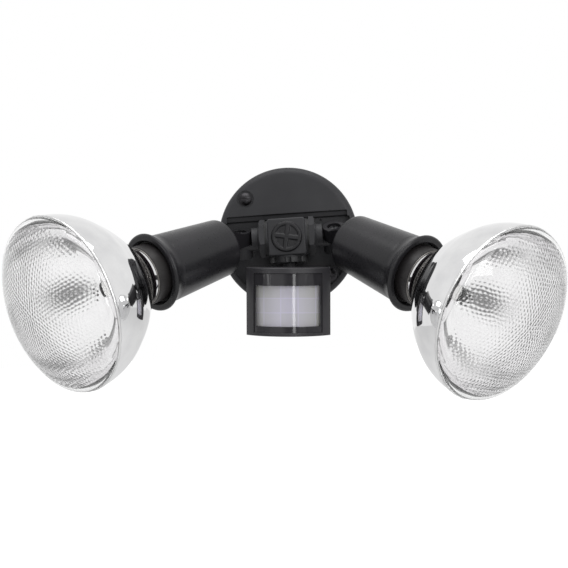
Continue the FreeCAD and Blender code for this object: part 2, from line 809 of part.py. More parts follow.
def make_lampholder(side, head):
    body = new_body(side + "_lampholder")
    back = d.holder_setback
    round_off = d.holder_corner
    back_flat = d.holder_back_radius - round_off
    flare_start = MOUTH - d.flare_length
    flare_rise = d.flare_radius - d.holder_front_radius
    flare_end = MOUTH - d.lip_round
    flare_middle = Via(d.holder_front_radius + flare_rise * 0.22,
                       flare_start + (flare_end - flare_start) * 0.55)
    gasket_seat = MOUTH - d.mouth_depth
    turn(body, [(0, back)]
         + corner(back_flat, back + round_off, round_off, -90, 0)
         + [(d.holder_front_radius, flare_start), flare_middle]
         + corner(d.flare_radius - d.lip_round, flare_end, d.lip_round, 0, 90)
         + [(d.mouth_radius + d.mouth_chamfer, MOUTH),
            (d.mouth_radius, MOUTH - d.mouth_chamfer), (d.mouth_radius, gasket_seat),
            (d.holder_front_radius - d.holder_wall, gasket_seat)]
         + corner(back_flat, back + round_off, round_off - d.holder_wall, 0, -90)
         + [(0, back + d.holder_wall)])

    # upper ear and the web that carries it, clear of the arm's ear below
    inside = back + d.holder_wall / 2.0
    clamp = d.clamp_drop
    pad(body, "XZ", [Circle(0, 0, d.ear_radius)], d.holder_ear_thickness, offset=clamp, flip=True)
    pad(body, "YZ", [[(-clamp, 0), (EAR_TOP, 0), (EAR_TOP, d.gusset_start),
                      (d.gusset_rise, inside), (-d.gusset_drop, inside),
                      (-clamp, d.ear_radius + d.ear_gap * 2.0)]],
        d.ear_radius * 2.0, both=True)

    # pin hole, sunk head, and the channel that brings the wires through the knuckle
    cut(body, "XZ", [Circle(0, 0, d.knuckle_screw_radius + d.bore_clearance)],
        d.holder_ear_thickness + 1.0, offset=clamp)
    sink = d.knuckle_head_radius + d.running_gap * 2.0
    cut(body, "XZ", [Circle(0, 0, sink)], d.knuckle_head_sink, offset=-EAR_TOP, flip=True)
    groove_inner = d.wire_hole_reach - d.wire_hole_radius - 0.4
    cut(body, "XZ", [Circle(0, 0, d.wire_groove_radius), Circle(0, 0, groove_inner)],
        d.wire_groove_depth, offset=clamp)
    bore = d.wire_bore_radius
    bore_start = sink + 1.0
    cut(body, "XY", [Circle(0, bore + 1.2 - clamp, bore)], back + d.holder_wall + 1.0 - bore_start,
        offset=bore_start, flip=True)

    # posts for the socket
    post_top = MOUTH - d.socket_floor_depth - d.socket_floor
    post_start = back + d.holder_wall - 0.5
    sides = (d.socket_post_across, -d.socket_post_across)
    pad(body, "XY", [Circle(x, 0, d.socket_post_radius) for x in sides], post_top - post_start,
        offset=post_start)
    holes = [Circle(x, 0, d.socket_screw_radius + d.bore_clearance) for x in sides]
    cut(body, "XY", holes, d.socket_screw_length - d.socket_floor + 1.0, offset=post_top)
    place(body, head)


def make_socket(side, head):
    rim = MOUTH - d.socket_rise
    floor_top = MOUTH - d.socket_floor_depth
    floor_low = floor_top - d.socket_floor
    shell_inner = d.socket_shell_radius - d.socket_shell_wall
    sides = (d.socket_post_across, -d.socket_post_across)
    screw_hole = d.socket_screw_radius + d.bore_clearance

    body = new_body(side + "_socket_body")
    cup = d.socket_shell_radius + 0.05
    turn(body, [(0, floor_low), (d.socket_radius, floor_low), (d.socket_radius, rim), (cup, rim),
                (cup, floor_top), (0, floor_top)])
    cut(body, "XY", [Circle(x, 0, screw_hole) for x in sides] + [Circle(0, 0, screw_hole)],
        d.socket_floor + 1.0, offset=floor_top)
    place(body, head)

    shell = new_body(side + "_socket_shell")
    lip = shell_inner - 1.0
    turn(shell, [(lip, floor_top), (d.socket_shell_radius, floor_top),
                 (d.socket_shell_radius, rim - 0.5), (shell_inner, rim - 0.5),
                 (shell_inner, floor_top + d.socket_shell_wall),
                 (lip, floor_top + d.socket_shell_wall)])
    place(shell, head)

    contact = new_body(side + "_socket_contact")
    half = d.leaf_width / 2.0
    pad(contact, "XY", [rectangle(-half, -half, half, half)], d.leaf_thickness, offset=floor_top)
    button_top = floor_top + 1.4
    pad(contact, "XY", [Circle(0, 0, half * 0.8)], button_top - floor_top, offset=floor_top)
    pad(contact, "XY", [Circle(0, 0, d.socket_screw_radius)], d.socket_floor, offset=floor_top,
        flip=True)
    place(contact, head)

    screws = []
    for number, x in enumerate(sides, start=1):
        body = screw("%s_socket_screw_%d" % (side, number), d.socket_screw_radius,
                     d.socket_screw_length, d.socket_screw_head, d.socket_screw_head * 0.7)
        body.Placement = head * shift(x, 0, floor_top)
        screws.append(body)
    place_group(side + "_socket_screws", screws)


def make_mouth_gasket(side, head):
    body = new_body(side + "_mouth_gasket")
    inner = d.skirt_radius + d.mouth_gasket_gap
    outer = d.mouth_radius - d.mouth_gasket_gap
    low = MOUTH - d.mouth_depth
    high = low + d.mouth_gasket_height
    turn(body, [(inner, low), (outer, low), (outer, high), (inner + 1.0, high), (inner, high - 1.0)])
    place(body, head)


def make_lamp_reflector(side, head):
    """Pressed glass bowl on a short neck, closed at the bottom and mirrored inside."""
    body = new_body(side + "_lamp_reflector")
    glass = d.lamp_glass
    neck = d.skirt_radius - d.skirt_wall - 0.1
    neck_low = MOUTH - d.skirt_behind + d.neck_seat
    skirt_top = MOUTH + d.skirt_ahead + 0.2
    throat = MOUTH + d.throat_ahead
    waist = MOUTH + d.waist_ahead
    bowl_mid = MOUTH + d.bowl_mid_ahead
    bowl = MOUTH + d.bowl_ahead
    rise = SEAM - bowl
    turn(body, [(0, neck_low), (neck, neck_low), (neck, skirt_top), (d.throat_radius - 0.2, skirt_top),
                (d.throat_radius, throat),
                Via(d.throat_radius + (d.waist_radius - d.throat_radius) * 0.36,
                    throat + (waist - throat) * 0.56),
                (d.waist_radius, waist), Via(d.bowl_mid_radius, bowl_mid),
                (d.bowl_radius, bowl),
                Via(d.bowl_radius + (d.lamp_radius - d.bowl_radius) * 0.715, bowl + rise * 0.46),
                (d.lamp_radius, SEAM), (d.lamp_radius - glass, SEAM),
                Via(d.bowl_radius + (d.lamp_radius - d.bowl_radius) * 0.715 - glass * 0.9,
                    bowl + rise * 0.46 + glass * 0.3),
                (d.bowl_radius - glass * 0.8, bowl + glass * 0.6),
                Via(d.bowl_mid_radius - glass * 0.7, bowl_mid + glass * 0.7),
                (d.waist_radius - glass * 0.7, waist + glass * 0.7),
                (neck - glass, throat), (neck - glass, neck_low + glass),
                (0, neck_low + glass)])
    place(body, head)


def make_lamp_lens(side, head):
    """Domed front glass with a wide round shoulder."""
    body = new_body(side + "_lamp_lens")
    glass = d.lamp_glass
    shoulder = SEAM + d.lens_shoulder_rise
    turn(body, [(d.lamp_radius, SEAM),
                Via(d.lens_shoulder_radius + (d.lamp_radius - d.lens_shoulder_radius) * 0.78,
                    SEAM + d.lens_shoulder_rise * 0.55),
                (d.lens_shoulder_radius, shoulder), Cap(),
                (0, SEAM + d.lens_rise), (0, SEAM + d.lens_rise - glass), Cap(),
                (d.lens_shoulder_radius - glass * 0.6, shoulder - glass * 0.8),
                Via(d.lamp_radius - glass * 1.25, SEAM + d.lens_shoulder_rise * 0.42),
                (d.lamp_radius - glass, SEAM)])
    place(body, head)


def make_lamp_base(side, head):
    """Metal skirt round the neck, threaded shell, glass insulator and end contact."""
    wall = d.skirt_wall
    top = MOUTH + d.skirt_ahead
    low = MOUTH - d.skirt_behind
    shell_top = low - 2.0
    shell_low = MOUTH - d.screw_shell_depth
    crest = d.screw_shell_radius
    ledge = low + d.neck_seat
    rim_radius = d.mouth_radius - d.skirt_rim_clearance
    rim_low = MOUTH - d.mouth_depth + d.mouth_gasket_height + d.skirt_rim_lift
    skirt = new_body(side + "_lamp_skirt")
    turn(skirt, [(crest - wall, shell_top), (crest, shell_top), (d.skirt_radius, low),
                 (d.skirt_radius, rim_low), (rim_radius, rim_low + d.skirt_rim_edge * 0.5),
                 (rim_radius, top - d.skirt_rim_edge), (rim_radius - d.skirt_rim_edge, top),
                 (d.skirt_radius - wall, top),
                 (d.skirt_radius - wall, ledge), (d.skirt_radius - wall * 4.0, ledge),
                 (crest - wall, shell_top + wall)])
    place(skirt, head)

    shell = new_body(side + "_lamp_screw_shell")
    outline = [(crest - d.thread_height, shell_top)]
    turns = int((shell_top.value - shell_low.value - 2.0) / d.thread_pitch.value)
    for k in range(turns):
        start = shell_top - d.thread_pitch * float(k)
        outline.append(Via(crest, start - d.thread_pitch / 2.0))
        outline.append((crest - d.thread_height, start - d.thread_pitch))
    inner = crest - d.thread_height - d.screw_shell_wall
    outline += [(crest - d.thread_height, shell_low), (inner, shell_low), (inner, shell_top)]
    turn(shell, outline)
    place(shell, head)

    insulator = new_body(side + "_lamp_insulator")
    rim = inner + d.screw_shell_wall * 0.5
    turn(insulator, [(d.eyelet_radius * 0.5, shell_low - d.insulator_height),
                     (d.eyelet_radius * 1.2, shell_low - d.insulator_height), (rim, shell_low),
                     (inner - 0.1, shell_low), (inner - 0.1, shell_low + 1.5),
                     (d.eyelet_radius * 0.5, shell_low + 1.5)])
    place(insulator, head)

    eyelet = new_body(side + "_lamp_eyelet")
    under = shell_low - d.insulator_height
    turn(eyelet, [(0, under - d.eyelet_height), (d.eyelet_radius * 0.6, under - d.eyelet_height),
                  (d.eyelet_radius, under), (d.eyelet_radius * 0.45, under),
                  (d.eyelet_radius * 0.45, shell_low + 1.5), (0, shell_low + 1.5)])
    place(eyelet, head)


def make_lamp_burner(side, head):
    """Quartz capsule on two stiff leads that stand on the neck's floor."""
    body = new_body(side + "_lamp_burner")
    floor = MOUTH - d.skirt_behind + d.neck_seat + d.lamp_glass
    low = MOUTH + d.burner_low
    high = low + d.burner_length
    radius = d.burner_radius
    turn(body, [(0, low), (radius, low), (radius, high - radius), Cap(), (0, high)])
    leads = [Circle(x, 0, d.lead_radius) for x in (d.lead_across, -d.lead_across)]
    pad(body, "XY", leads, low - floor + 0.5, offset=floor)
    place(body, head)


def make_head(side):
    arm, head = head_frames(side)
    make_arm_gasket(side, arm)
    make_arm_nut(side, arm)
    make_swivel_arm(side, arm)
    make_knuckle_fasteners(side, arm)
    make_lampholder(side, head)
    make_socket(side, head)
    make_mouth_gasket(side, head)
    make_lamp_reflector(side, head)
    make_lamp_lens(side, head)
    make_lamp_base(side, head)
    make_lamp_burner(side, head)


# Sensor. Its frame has its origin in the ball: X to the right, Y to the wall, Z up.

BALL = Placement(Vector(0, -d.port_depth.value, d.ball_height.value), Rotation())
LINER_FRAME = BALL * quarter(Vector(0, 1, 0), SIZES["sensor_lean"])
SENSOR_FRAME = LINER_FRAME * quarter(Vector(1, 0, 0), SIZES["sensor_tilt"])
HALF_WIDTH = d.sensor_width / 2.0
CURVE_CENTRE = d.sensor_curve - d.sensor_reach


def front_arc(radius, half_width):
    """How far ahead of the ball the curved front lies, at a distance from the middle."""
    return CURVE_CENTRE - leg(radius, half_width)


def arc_band(inner, outer, half_width):
    """A strip of the curved front, between two radii."""
    return [(-half_width, front_arc(outer, half_width)), Via(0, CURVE_CENTRE - outer),
            (half_width, front_arc(outer, half_width)), (half_width, front_arc(inner, half_width)),
            Via(0, CURVE_CENTRE - inner), (-half_width, front_arc(inner, half_width))]


def make_stem():
    body = new_body("sensor_stem")
    nut_top = d.port_height - d.hub_height / 2.0 - d.boss_rise - d.ball_height
    nipple_low = nut_top - d.stem_nut_thickness - 0.4
    nipple_top = d.port_height - d.hub_height / 2.0 + d.hub_wall - d.ball_height
    neck_start = leg(d.ball_radius, d.stem_neck_radius)
    cut_radius = leg(d.ball_radius, d.ball_cut)
    turn(body, [(d.stem_bore, -d.ball_cut), (cut_radius, -d.ball_cut), Cap(),
                (d.stem_neck_radius, neck_start), (d.stem_neck_radius, nipple_low),
                (d.thread_radius, nipple_low), (d.thread_radius, nipple_top),
                (d.stem_bore, nipple_top)])
    place(body, BALL)

    nut = new_body("stem_nut")
    pad(nut, "XY", [Circle(0, 0, d.stem_nut_radius), Circle(0, 0, d.thread_radius + d.bore_clearance)],
        d.stem_nut_thickness)
    scallop = cut(nut, "XY", [Circle(d.stem_nut_radius + d.stem_nut_lobe * 0.5, 0, d.stem_nut_lobe)],
                  d.stem_nut_thickness + 1.0, offset=d.stem_nut_thickness + 0.5)
    pattern_round(nut, scallop, 8)
    place(nut, BALL * shift(0, 0, nut_top - d.stem_nut_thickness))


def make_ball_liner():
    body = new_body("ball_liner")
    inner = d.ball_radius + d.ball_clearance
    reach = d.liner_reach
    turn(body, [(leg(inner, reach), reach), Cap(), (leg(inner, reach), -reach),
                (leg(d.liner_radius, reach), -reach), Cap(),
                (leg(d.liner_radius, reach), reach)])
    place(body, LINER_FRAME)


def cut_ball_seat(body, height):
    """Cut the half of the liner's round seat that lies on one side of the ball's middle."""
    radius = d.liner_radius + d.ball_clearance
    past = 1.0 if height.value > 0 else -1.0
    opening = leg(radius, height)
    turn(body, [(0, -past), (radius, -past), (radius, 0), Cap(), (opening, height),
                (opening, height + past), (0, height + past)], "Groove")


def make_sensor_rear():
    body = new_body("sensor_rear")
    wall = d.rear_wall
    angle = math.radians(d.sensor_rear_angle.value)
    ahead = -d.sensor_split

    def plan(half, radius, front):
        side_x = radius * math.cos(angle)
        side_y = radius * math.sin(angle)
        return [(-half, front), (half, front), (side_x, side_y), Via(0, radius), (-side_x, side_y)]

    def slope_away(target, inset):
        """Cut the lower back away, so that the sensor can tilt down past the canopy's rim."""
        low_y = -d.rear_slope_ahead - inset
        high_y = d.sensor_rear_radius - inset
        past = d.sensor_rear_radius + 1.0
        under = d.sensor_bottom - 1.0
        cut(target, "YZ", [[(low_y, under), (past, under), (past, d.rear_slope_top),
                            (high_y, d.rear_slope_top), (low_y, d.sensor_bottom)]],
            d.sensor_width, both=True)

    pad(body, "XY", [plan(HALF_WIDTH, d.sensor_rear_radius, ahead)], d.sensor_deck - d.sensor_bottom,
        offset=d.sensor_bottom)
    slope_away(body, as_size(0))
    room_top = d.sensor_deck - wall
    room = new_body("sensor_rear_room")
    inner_plan = plan(HALF_WIDTH - wall, d.sensor_rear_radius - d.sensor_wall, ahead - 1.0)
    pad(room, "XY", [inner_plan], d.sensor_deck - d.sensor_bottom - wall * 2.0,
        offset=d.sensor_bottom + wall)
    slope_away(room, wall * 1.3)
    combine(body, room, "Cut")

    # seat for the ball's liner, with a boss on each side for the retainer's screws
    lugs = (d.retainer_lug_across, -d.retainer_lug_across)
    pad(body, "XY", [Circle(0, 0, d.sensor_rear_radius - 0.6)], room_top + 0.5)
    pad(body, "XY", [Circle(x, -d.retainer_lug_ahead, d.retainer_lug_radius) for x in lugs],
        room_top + 0.5)
    cut_ball_seat(body, d.sensor_deck)
    holes = [Circle(x, -d.retainer_lug_ahead, d.small_screw_radius + 0.05) for x in lugs]
    cut(body, "XY", holes, d.sensor_deck - 1.5, flip=True)

    # columns for the case screws, each sunk from behind
    sides = (d.case_screw_across, -d.case_screw_across)
    columns = [Circle(x, -d.case_screw_drop, d.case_column_radius) for x in sides]
    pad(body, "XZ", columns, d.sensor_split - d.case_screw_seat + 1.5,
        offset=d.case_screw_seat - 1.5)
    sunk = [Circle(x, -d.case_screw_drop, d.small_screw_head + d.running_gap) for x in sides]
    cut(body, "XZ", sunk, d.case_screw_seat, offset=d.case_screw_seat)
    shanks = [Circle(x, -d.case_screw_drop, d.small_screw_radius + d.bore_clearance) for x in sides]
    cut(body, "XZ", shanks, d.sensor_split + 1.0, offset=d.sensor_split + 1.0)
    place(body, SENSOR_FRAME)


def make_sensor_front():
    body = new_body("sensor_front")
    wall = d.sensor_wall
    ahead = -d.sensor_split
    corner_y = front_arc(d.sensor_curve, HALF_WIDTH)
    inner_half = HALF_WIDTH - wall
    inner_curve = d.sensor_curve - wall
    pad(body, "XY", [[(-HALF_WIDTH, ahead), (-HALF_WIDTH, corner_y), Via(0, -d.sensor_reach),
                      (HALF_WIDTH, corner_y), (HALF_WIDTH, ahead)]],
        d.sensor_top - d.sensor_bottom, offset=d.sensor_bottom)

    def outer_rim(edge):
        box = edge.BoundBox
        level = box.ZLength < 0.01 and box.YMin < ahead.value - 1.0 and box.XLength > 1.0
        return level

    round_edges(body, d.bezel_inset, outer_rim)
    room_top = d.sensor_top - wall
    room_low = d.sensor_bottom + wall
    inner_y = front_arc(inner_curve, inner_half)
    cut(body, "XY", [[(-inner_half, ahead - wall), (-inner_half, inner_y),
                      Via(0, CURVE_CENTRE - inner_curve), (inner_half, inner_y),
                      (inner_half, ahead - wall)]], room_top - room_low, offset=room_top)
    cut(body, "XZ", [rectangle(-inner_half, room_low, inner_half, d.sensor_deck - wall)],
        wall + 1.0, offset=d.sensor_split - 0.5, flip=True)
    half = d.window_half_width
    cut(body, "XZ", [rectangle(-half, d.window_bottom, half, d.window_top)],
        d.sensor_curve * 0.5, offset=d.sensor_reach + 1.0)

    # bosses that the case screws bite into
    sides = (d.case_screw_across, -d.case_screw_across)
    columns = [Circle(x, -d.case_screw_drop, d.case_column_radius) for x in sides]
    pad(body, "XZ", columns, d.case_boss_length, offset=d.sensor_split)
    bores = [Circle(x, -d.case_screw_drop, d.small_screw_radius + 0.05) for x in sides]
    cut(body, "XZ", bores, d.case_boss_length - 1.0, offset=d.sensor_split, flip=True)

    # openings below for the two controls
    room = d.running_gap
    cut(body, "XY", [Circle(-d.control_across, -d.control_ahead, d.knob_radius + room)], wall + 1.0,
        offset=room_low + 0.5)
    slot_half = d.slider_width / 2.0 + d.slider_travel / 2.0 + room
    slot_deep = d.slider_depth / 2.0 + room
    middle = d.control_across
    cut(body, "XY", [rectangle(middle - slot_half, -d.control_ahead - slot_deep,
                               middle + slot_half, slot_deep - d.control_ahead)], wall + 1.0,
        offset=room_low + 0.5)
    place(body, SENSOR_FRAME)


def make_bezel_and_lens():
    bezel = new_body("sensor_bezel")
    outer = d.sensor_curve - d.bezel_inset
    flange = d.sensor_curve - d.sensor_wall - d.fit_gap
    inner = flange - d.bezel_flange
    half = d.window_half_width - d.bezel_gap
    low = d.window_bottom
    high = d.window_top - d.bezel_gap
    pad(bezel, "XY", [arc_band(inner, outer, half)], high - low, offset=low)
    pad(bezel, "XY", [arc_band(inner, flange, half + d.bezel_lip)], high - low, offset=low)
    cut(bezel, "XZ", [rectangle(-d.aperture_half_width, d.aperture_bottom, d.aperture_half_width,
                                d.aperture_top)], d.sensor_curve * 0.5, offset=d.sensor_reach + 1.0)
    place(bezel, SENSOR_FRAME)

    lens = new_body("sensor_lens")
    lap = d.lens_overlap
    lens_outer = inner - d.fit_gap
    lens_high = d.aperture_top + lap
    pad(lens, "XY", [arc_band(lens_outer - d.lens_thickness, lens_outer,
                              d.aperture_half_width + lap)], lens_high - low, offset=low)
    place(lens, SENSOR_FRAME)


def make_ball_retainer():
    body = new_body("ball_retainer")
    low = -d.retainer_height
    lugs = (d.retainer_lug_across, -d.retainer_lug_across)
    ring_radius = d.sensor_rear_radius - d.sensor_wall - d.running_gap
    pad(body, "XY", [Circle(0, 0, ring_radius)], d.retainer_height, offset=low)
    lug_y = -d.retainer_lug_ahead
    pad(body, "XY", [rectangle(-d.retainer_lug_across, lug_y - d.retainer_lug_radius,
                               d.retainer_lug_across, lug_y + d.retainer_lug_radius)],
        d.retainer_height, offset=low)
    pad(body, "XY", [Circle(x, lug_y, d.retainer_lug_radius) for x in lugs], d.retainer_height,
        offset=low)
    cut_ball_seat(body, low)
    cut(body, "XY", [Circle(x, lug_y, d.small_screw_radius + d.bore_clearance) for x in lugs],
        d.retainer_height + 1.0, offset=0.5)
    place(body, SENSOR_FRAME)

    screws = []
    for number, x in enumerate(lugs, start=1):
        length = d.retainer_height + d.sensor_deck - 2.0
        fastener = screw("retainer_screw_%d" % number, d.small_screw_radius, length,
                         d.small_screw_head, d.small_screw_head_height)
        fastener.Placement = SENSOR_FRAME * shift(x, lug_y, low) * UPSIDE_DOWN
        screws.append(fastener)
    place_group("retainer_screws", screws)


def make_case_screws():
    screws = []
    for number, x in enumerate((d.case_screw_across, -d.case_screw_across), start=1):
        fastener = screw("case_screw_%d" % number, d.small_screw_radius, d.case_screw_length,
                         d.small_screw_head, d.small_screw_head_height)
        seat = shift(x, -d.case_screw_seat, -d.case_screw_drop)
        fastener.Placement = SENSOR_FRAME * seat * Z_TO_PLUS_Y
        screws.append(fastener)
    place_group("case_screws", screws)


def make_electronics():
    """The board in the joint of the two shells, and the parts that stand on it."""
    wall = d.sensor_wall
    gap = d.running_gap
    board_back = d.sensor_split
    board_face = board_back + d.board_thickness
    half = HALF_WIDTH - wall - gap
    top = d.sensor_deck - wall - gap
    board = new_body("sensor_board")
    pad(board, "XZ", [rectangle(-half, d.board_bottom, half, top)], d.board_thickness,
        offset=board_back)
    place(board, SENSOR_FRAME)

    detector = new_body("pir_detector")
    pad(detector, "XZ", [Circle(0, -d.pir_drop, d.pir_radius + 0.6)], 0.6, offset=board_face)
    pad(detector, "XZ", [Circle(0, -d.pir_drop, d.pir_radius)], d.pir_height, offset=board_face)
    place(detector, SENSOR_FRAME)

    cell = new_body("photocell")
    pad(cell, "XZ", [Circle(0, -d.photocell_drop, d.photocell_radius)], d.photocell_height,
        offset=board_face)
    place(cell, SENSOR_FRAME)

    relay = new_body("relay")
    relay_low = d.board_bottom + 1.0
    pad(relay, "XZ", [rectangle(-d.relay_width / 2.0, relay_low, d.relay_width / 2.0,
                                relay_low + d.relay_height)], d.relay_depth, offset=board_back,
        flip=True)
    place(relay, SENSOR_FRAME)

    pot_half = d.knob_shaft_radius + d.control_wall
    switch_half = d.slider_width / 4.0 + d.slider_travel / 2.0 + d.control_wall
    for label, middle, wide in (("range_pot", -d.control_across, pot_half),
                                ("time_switch", d.control_across, switch_half)):
        control = new_body(label)
        pad(control, "XZ", [rectangle(middle - wide, d.board_bottom, middle + wide,
                                      d.board_bottom + d.control_height)], d.control_depth,
            offset=board_face)
        if label == "range_pot":
            opening = Circle(middle, -d.control_ahead, d.knob_shaft_radius + d.fit_gap)
        else:
            reach = wide - d.control_wall + gap
            deep = d.slider_depth * 0.3 + d.fit_gap
            opening = rectangle(middle - reach, -d.control_ahead - deep, middle + reach,
                                deep - d.control_ahead)
        cut(control, "XY", [opening], d.control_grip, offset=d.board_bottom, flip=True)
        place(control, SENSOR_FRAME)


def make_controls():
    """Turning knob for the range and sliding button for the time, flush with the underside."""
    head_low = d.sensor_bottom - 0.2
    knob = new_body("range_knob")
    stem_top = d.board_bottom + d.control_grip - 0.2
    turn(knob, [(0, head_low), (d.knob_radius - 0.4, head_low), (d.knob_radius, head_low + 0.4),
                (d.knob_radius, head_low + d.knob_height),
                (d.knob_shaft_radius, head_low + d.knob_height), (d.knob_shaft_radius, stem_top),
                (0, stem_top)])
    bar = d.slot_width / 2.0
    cut(knob, "XY", [rectangle(-d.knob_radius * 0.8, -bar, d.knob_radius * 0.8, bar)],
        d.slot_depth, offset=head_low, flip=True)
    place(knob, SENSOR_FRAME * shift(-d.control_across, -d.control_ahead, 0))

    slider = new_body("time_slider")
    wide = d.slider_width / 2.0
    deep = d.slider_depth / 2.0
    pad(slider, "XY", [rectangle(-wide, -deep, wide, deep)], d.knob_height, offset=head_low)
    pad(slider, "XY", [rectangle(-wide * 0.5, -deep * 0.6, wide * 0.5, deep * 0.6)],
        stem_top - head_low, offset=head_low)
    place(slider, SENSOR_FRAME * shift(d.control_across, -d.control_ahead, 0))


def make_everything():
    make_canopy()
    make_canopy_gasket()
    make_canopy_screws()
    make_ground_screw()
    make_center_plug()
    for side in ("left", "right"):
        make_head(side)
    make_stem()
    make_ball_liner()
    make_sensor_rear()
    make_sensor_front()
    make_bezel_and_lens()
    make_ball_retainer()
    make_case_screws()
    make_electronics()
    make_controls()


def check_and_write():
    """Stop on any failed object or bad solid, then write one file for each sub-part."""
    doc.recompute()
    for item in doc.Objects:
        if "Invalid" in item.State or "Error" in item.State:
            raise RuntimeError("%s failed: %s" % (item.Label, item.State))
    for piece in pieces:
        if piece.Shape.isNull() or not piece.Shape.isValid() or not piece.Shape.Solids:
            raise RuntimeError("%s has no sound solid" % piece.Label)
    os.makedirs("parts", exist_ok=True)
    for piece in pieces:
        piece.Shape.exportStep("parts/%s.step" % piece.Label)
        print("%-22s %2d solid(s) %10.1f mm3" % (piece.Label, len(piece.Shape.Solids),
                                                piece.Shape.Volume))
    print("%d sub-parts" % len(pieces))


make_everything()
check_and_write()
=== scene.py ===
# %% [markdown]
# # A wall light with two flood lamps and a motion sensor
#
# The light has a round die-cast canopy on the wall, two swivelling lampholders with pressed
# glass reflector lamps, and a small sensor on a ball joint under the hub. The solid model comes
# in as a fixed frame. Each lesson below takes one piece or one finish, says what it is on the
# real light, how it could be made, and why it is made the way it is here.

import json
import math

import bmesh
import bpy
import numpy as np
from mathutils import Matrix, Vector


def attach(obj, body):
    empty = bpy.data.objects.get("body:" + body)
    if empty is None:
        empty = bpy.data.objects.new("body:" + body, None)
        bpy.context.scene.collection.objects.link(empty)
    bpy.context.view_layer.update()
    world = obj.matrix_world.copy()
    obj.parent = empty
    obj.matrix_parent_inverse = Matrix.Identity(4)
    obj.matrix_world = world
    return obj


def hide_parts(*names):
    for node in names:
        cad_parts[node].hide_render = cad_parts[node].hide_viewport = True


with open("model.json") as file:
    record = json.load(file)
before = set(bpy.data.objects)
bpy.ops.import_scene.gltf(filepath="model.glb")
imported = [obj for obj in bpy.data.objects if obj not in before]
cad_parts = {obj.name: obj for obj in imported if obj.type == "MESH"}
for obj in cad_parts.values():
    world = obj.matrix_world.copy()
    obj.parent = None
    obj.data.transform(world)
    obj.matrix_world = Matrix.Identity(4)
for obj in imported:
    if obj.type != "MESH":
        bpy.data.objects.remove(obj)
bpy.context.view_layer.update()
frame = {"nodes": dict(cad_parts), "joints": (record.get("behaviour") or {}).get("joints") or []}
NODES = frame["nodes"]
JOINTS = {joint["name"]: joint for joint in frame["joints"]}
MM = 0.001


# %% [markdown]
# ## Small helpers
#
# A colour is written as the sRGB hex value that a paint chart or a photo gives. The renderer
# calculates with linear light, so one function turns it. One more function adds any node: it sets
# the node's own settings, fills its sockets, and links a socket where it gets another node's
# output. With these two, a material reads like a short list.

# %% Colour and nodes
def linear(code):
    """An sRGB hex colour as linear RGBA."""
    parts = [int(code[k:k + 2], 16) / 255 for k in (1, 3, 5)]
    return [p / 12.92 if p <= 0.04045 else ((p + 0.055) / 1.055) ** 2.4 for p in parts] + [1.0]


def add_node(tree, kind, inputs=None, **settings):
    """Adds a node, applies its settings, then sets or links its inputs."""
    node = tree.nodes.new(kind)
    for name, value in settings.items():
        setattr(node, name, value)
    for key, value in (inputs or {}).items():
        if isinstance(value, bpy.types.NodeSocket):
            tree.links.new(value, node.inputs[key])
        else:
            node.inputs[key].default_value = value
    return node


def start_material(name, **sockets):
    """A material with one Principled shader whose sockets are set by name."""
    material = bpy.data.materials.new(name)
    material.use_nodes = True
    tree = material.node_tree
    tree.nodes.clear()
    shader = add_node(tree, "ShaderNodeBsdfPrincipled",
                      {key.replace("_", " "): value for key, value in sockets.items()})
    add_node(tree, "ShaderNodeOutputMaterial", {"Surface": shader.outputs[0]})
    return material, tree, shader


print("mid grey is", round(linear("#808080")[0], 3), "in linear light")


# %% [markdown]
# ## What every surface has
#
# No real surface has one even colour, one gloss and one level. So each finish below starts from a
# noise whose lumps have a real size in millimetres. It reads the object's own coordinates, so it
# stays on its piece when the piece turns. One function lets the noise mix two shades, one lets it
# vary the gloss, and one lets it stand out as relief. The relief can start from a Bevel node,
# which rounds the edges for the light without a change to the mesh.

# %% Shades, gloss and relief
NOISE_RANGE = {"From Min": 0.3, "From Max": 0.7}


def lumps(tree, size_mm, detail):
    """A noise whose lumps are about size_mm wide."""
    point = add_node(tree, "ShaderNodeTexCoord").outputs["Object"]
    return add_node(tree, "ShaderNodeTexNoise",
                    {"Vector": point, "Scale": 1000.0 / size_mm, "Detail": detail}).outputs[0]


def vary_colour(tree, shader, pattern, first, second):
    """Mixes two hex colours by a pattern."""
    share = add_node(tree, "ShaderNodeMapRange", {"Value": pattern, **NOISE_RANGE})
    mix = add_node(tree, "ShaderNodeMix", {"Factor": share.outputs["Result"], 6: linear(first),
                                           7: linear(second)}, data_type="RGBA")
    tree.links.new(mix.outputs[2], shader.inputs["Base Color"])


def vary_roughness(tree, shader, pattern, low, high):
    """Spreads the roughness from low to high by a pattern."""
    rough = add_node(tree, "ShaderNodeMapRange", {"Value": pattern, **NOISE_RANGE,
                                                  "To Min": low, "To Max": high})
    tree.links.new(rough.outputs["Result"], shader.inputs["Roughness"])


def add_relief(tree, shader, pattern, strength, depth_mm, edge_mm=0.0):
    """Lets a pattern stand out and, where edge_mm is given, rounds the edges by it."""
    sockets = {"Strength": strength, "Distance": depth_mm * MM, "Height": pattern}
    if edge_mm:
        edge = add_node(tree, "ShaderNodeBevel", {"Radius": edge_mm * MM}, samples=4)
        sockets["Normal"] = edge.outputs[0]
    bump = add_node(tree, "ShaderNodeBump", sockets)
    tree.links.new(bump.outputs[0], shader.inputs["Normal"])


print("noise is used from", NOISE_RANGE["From Min"], "to", NOISE_RANGE["From Max"])
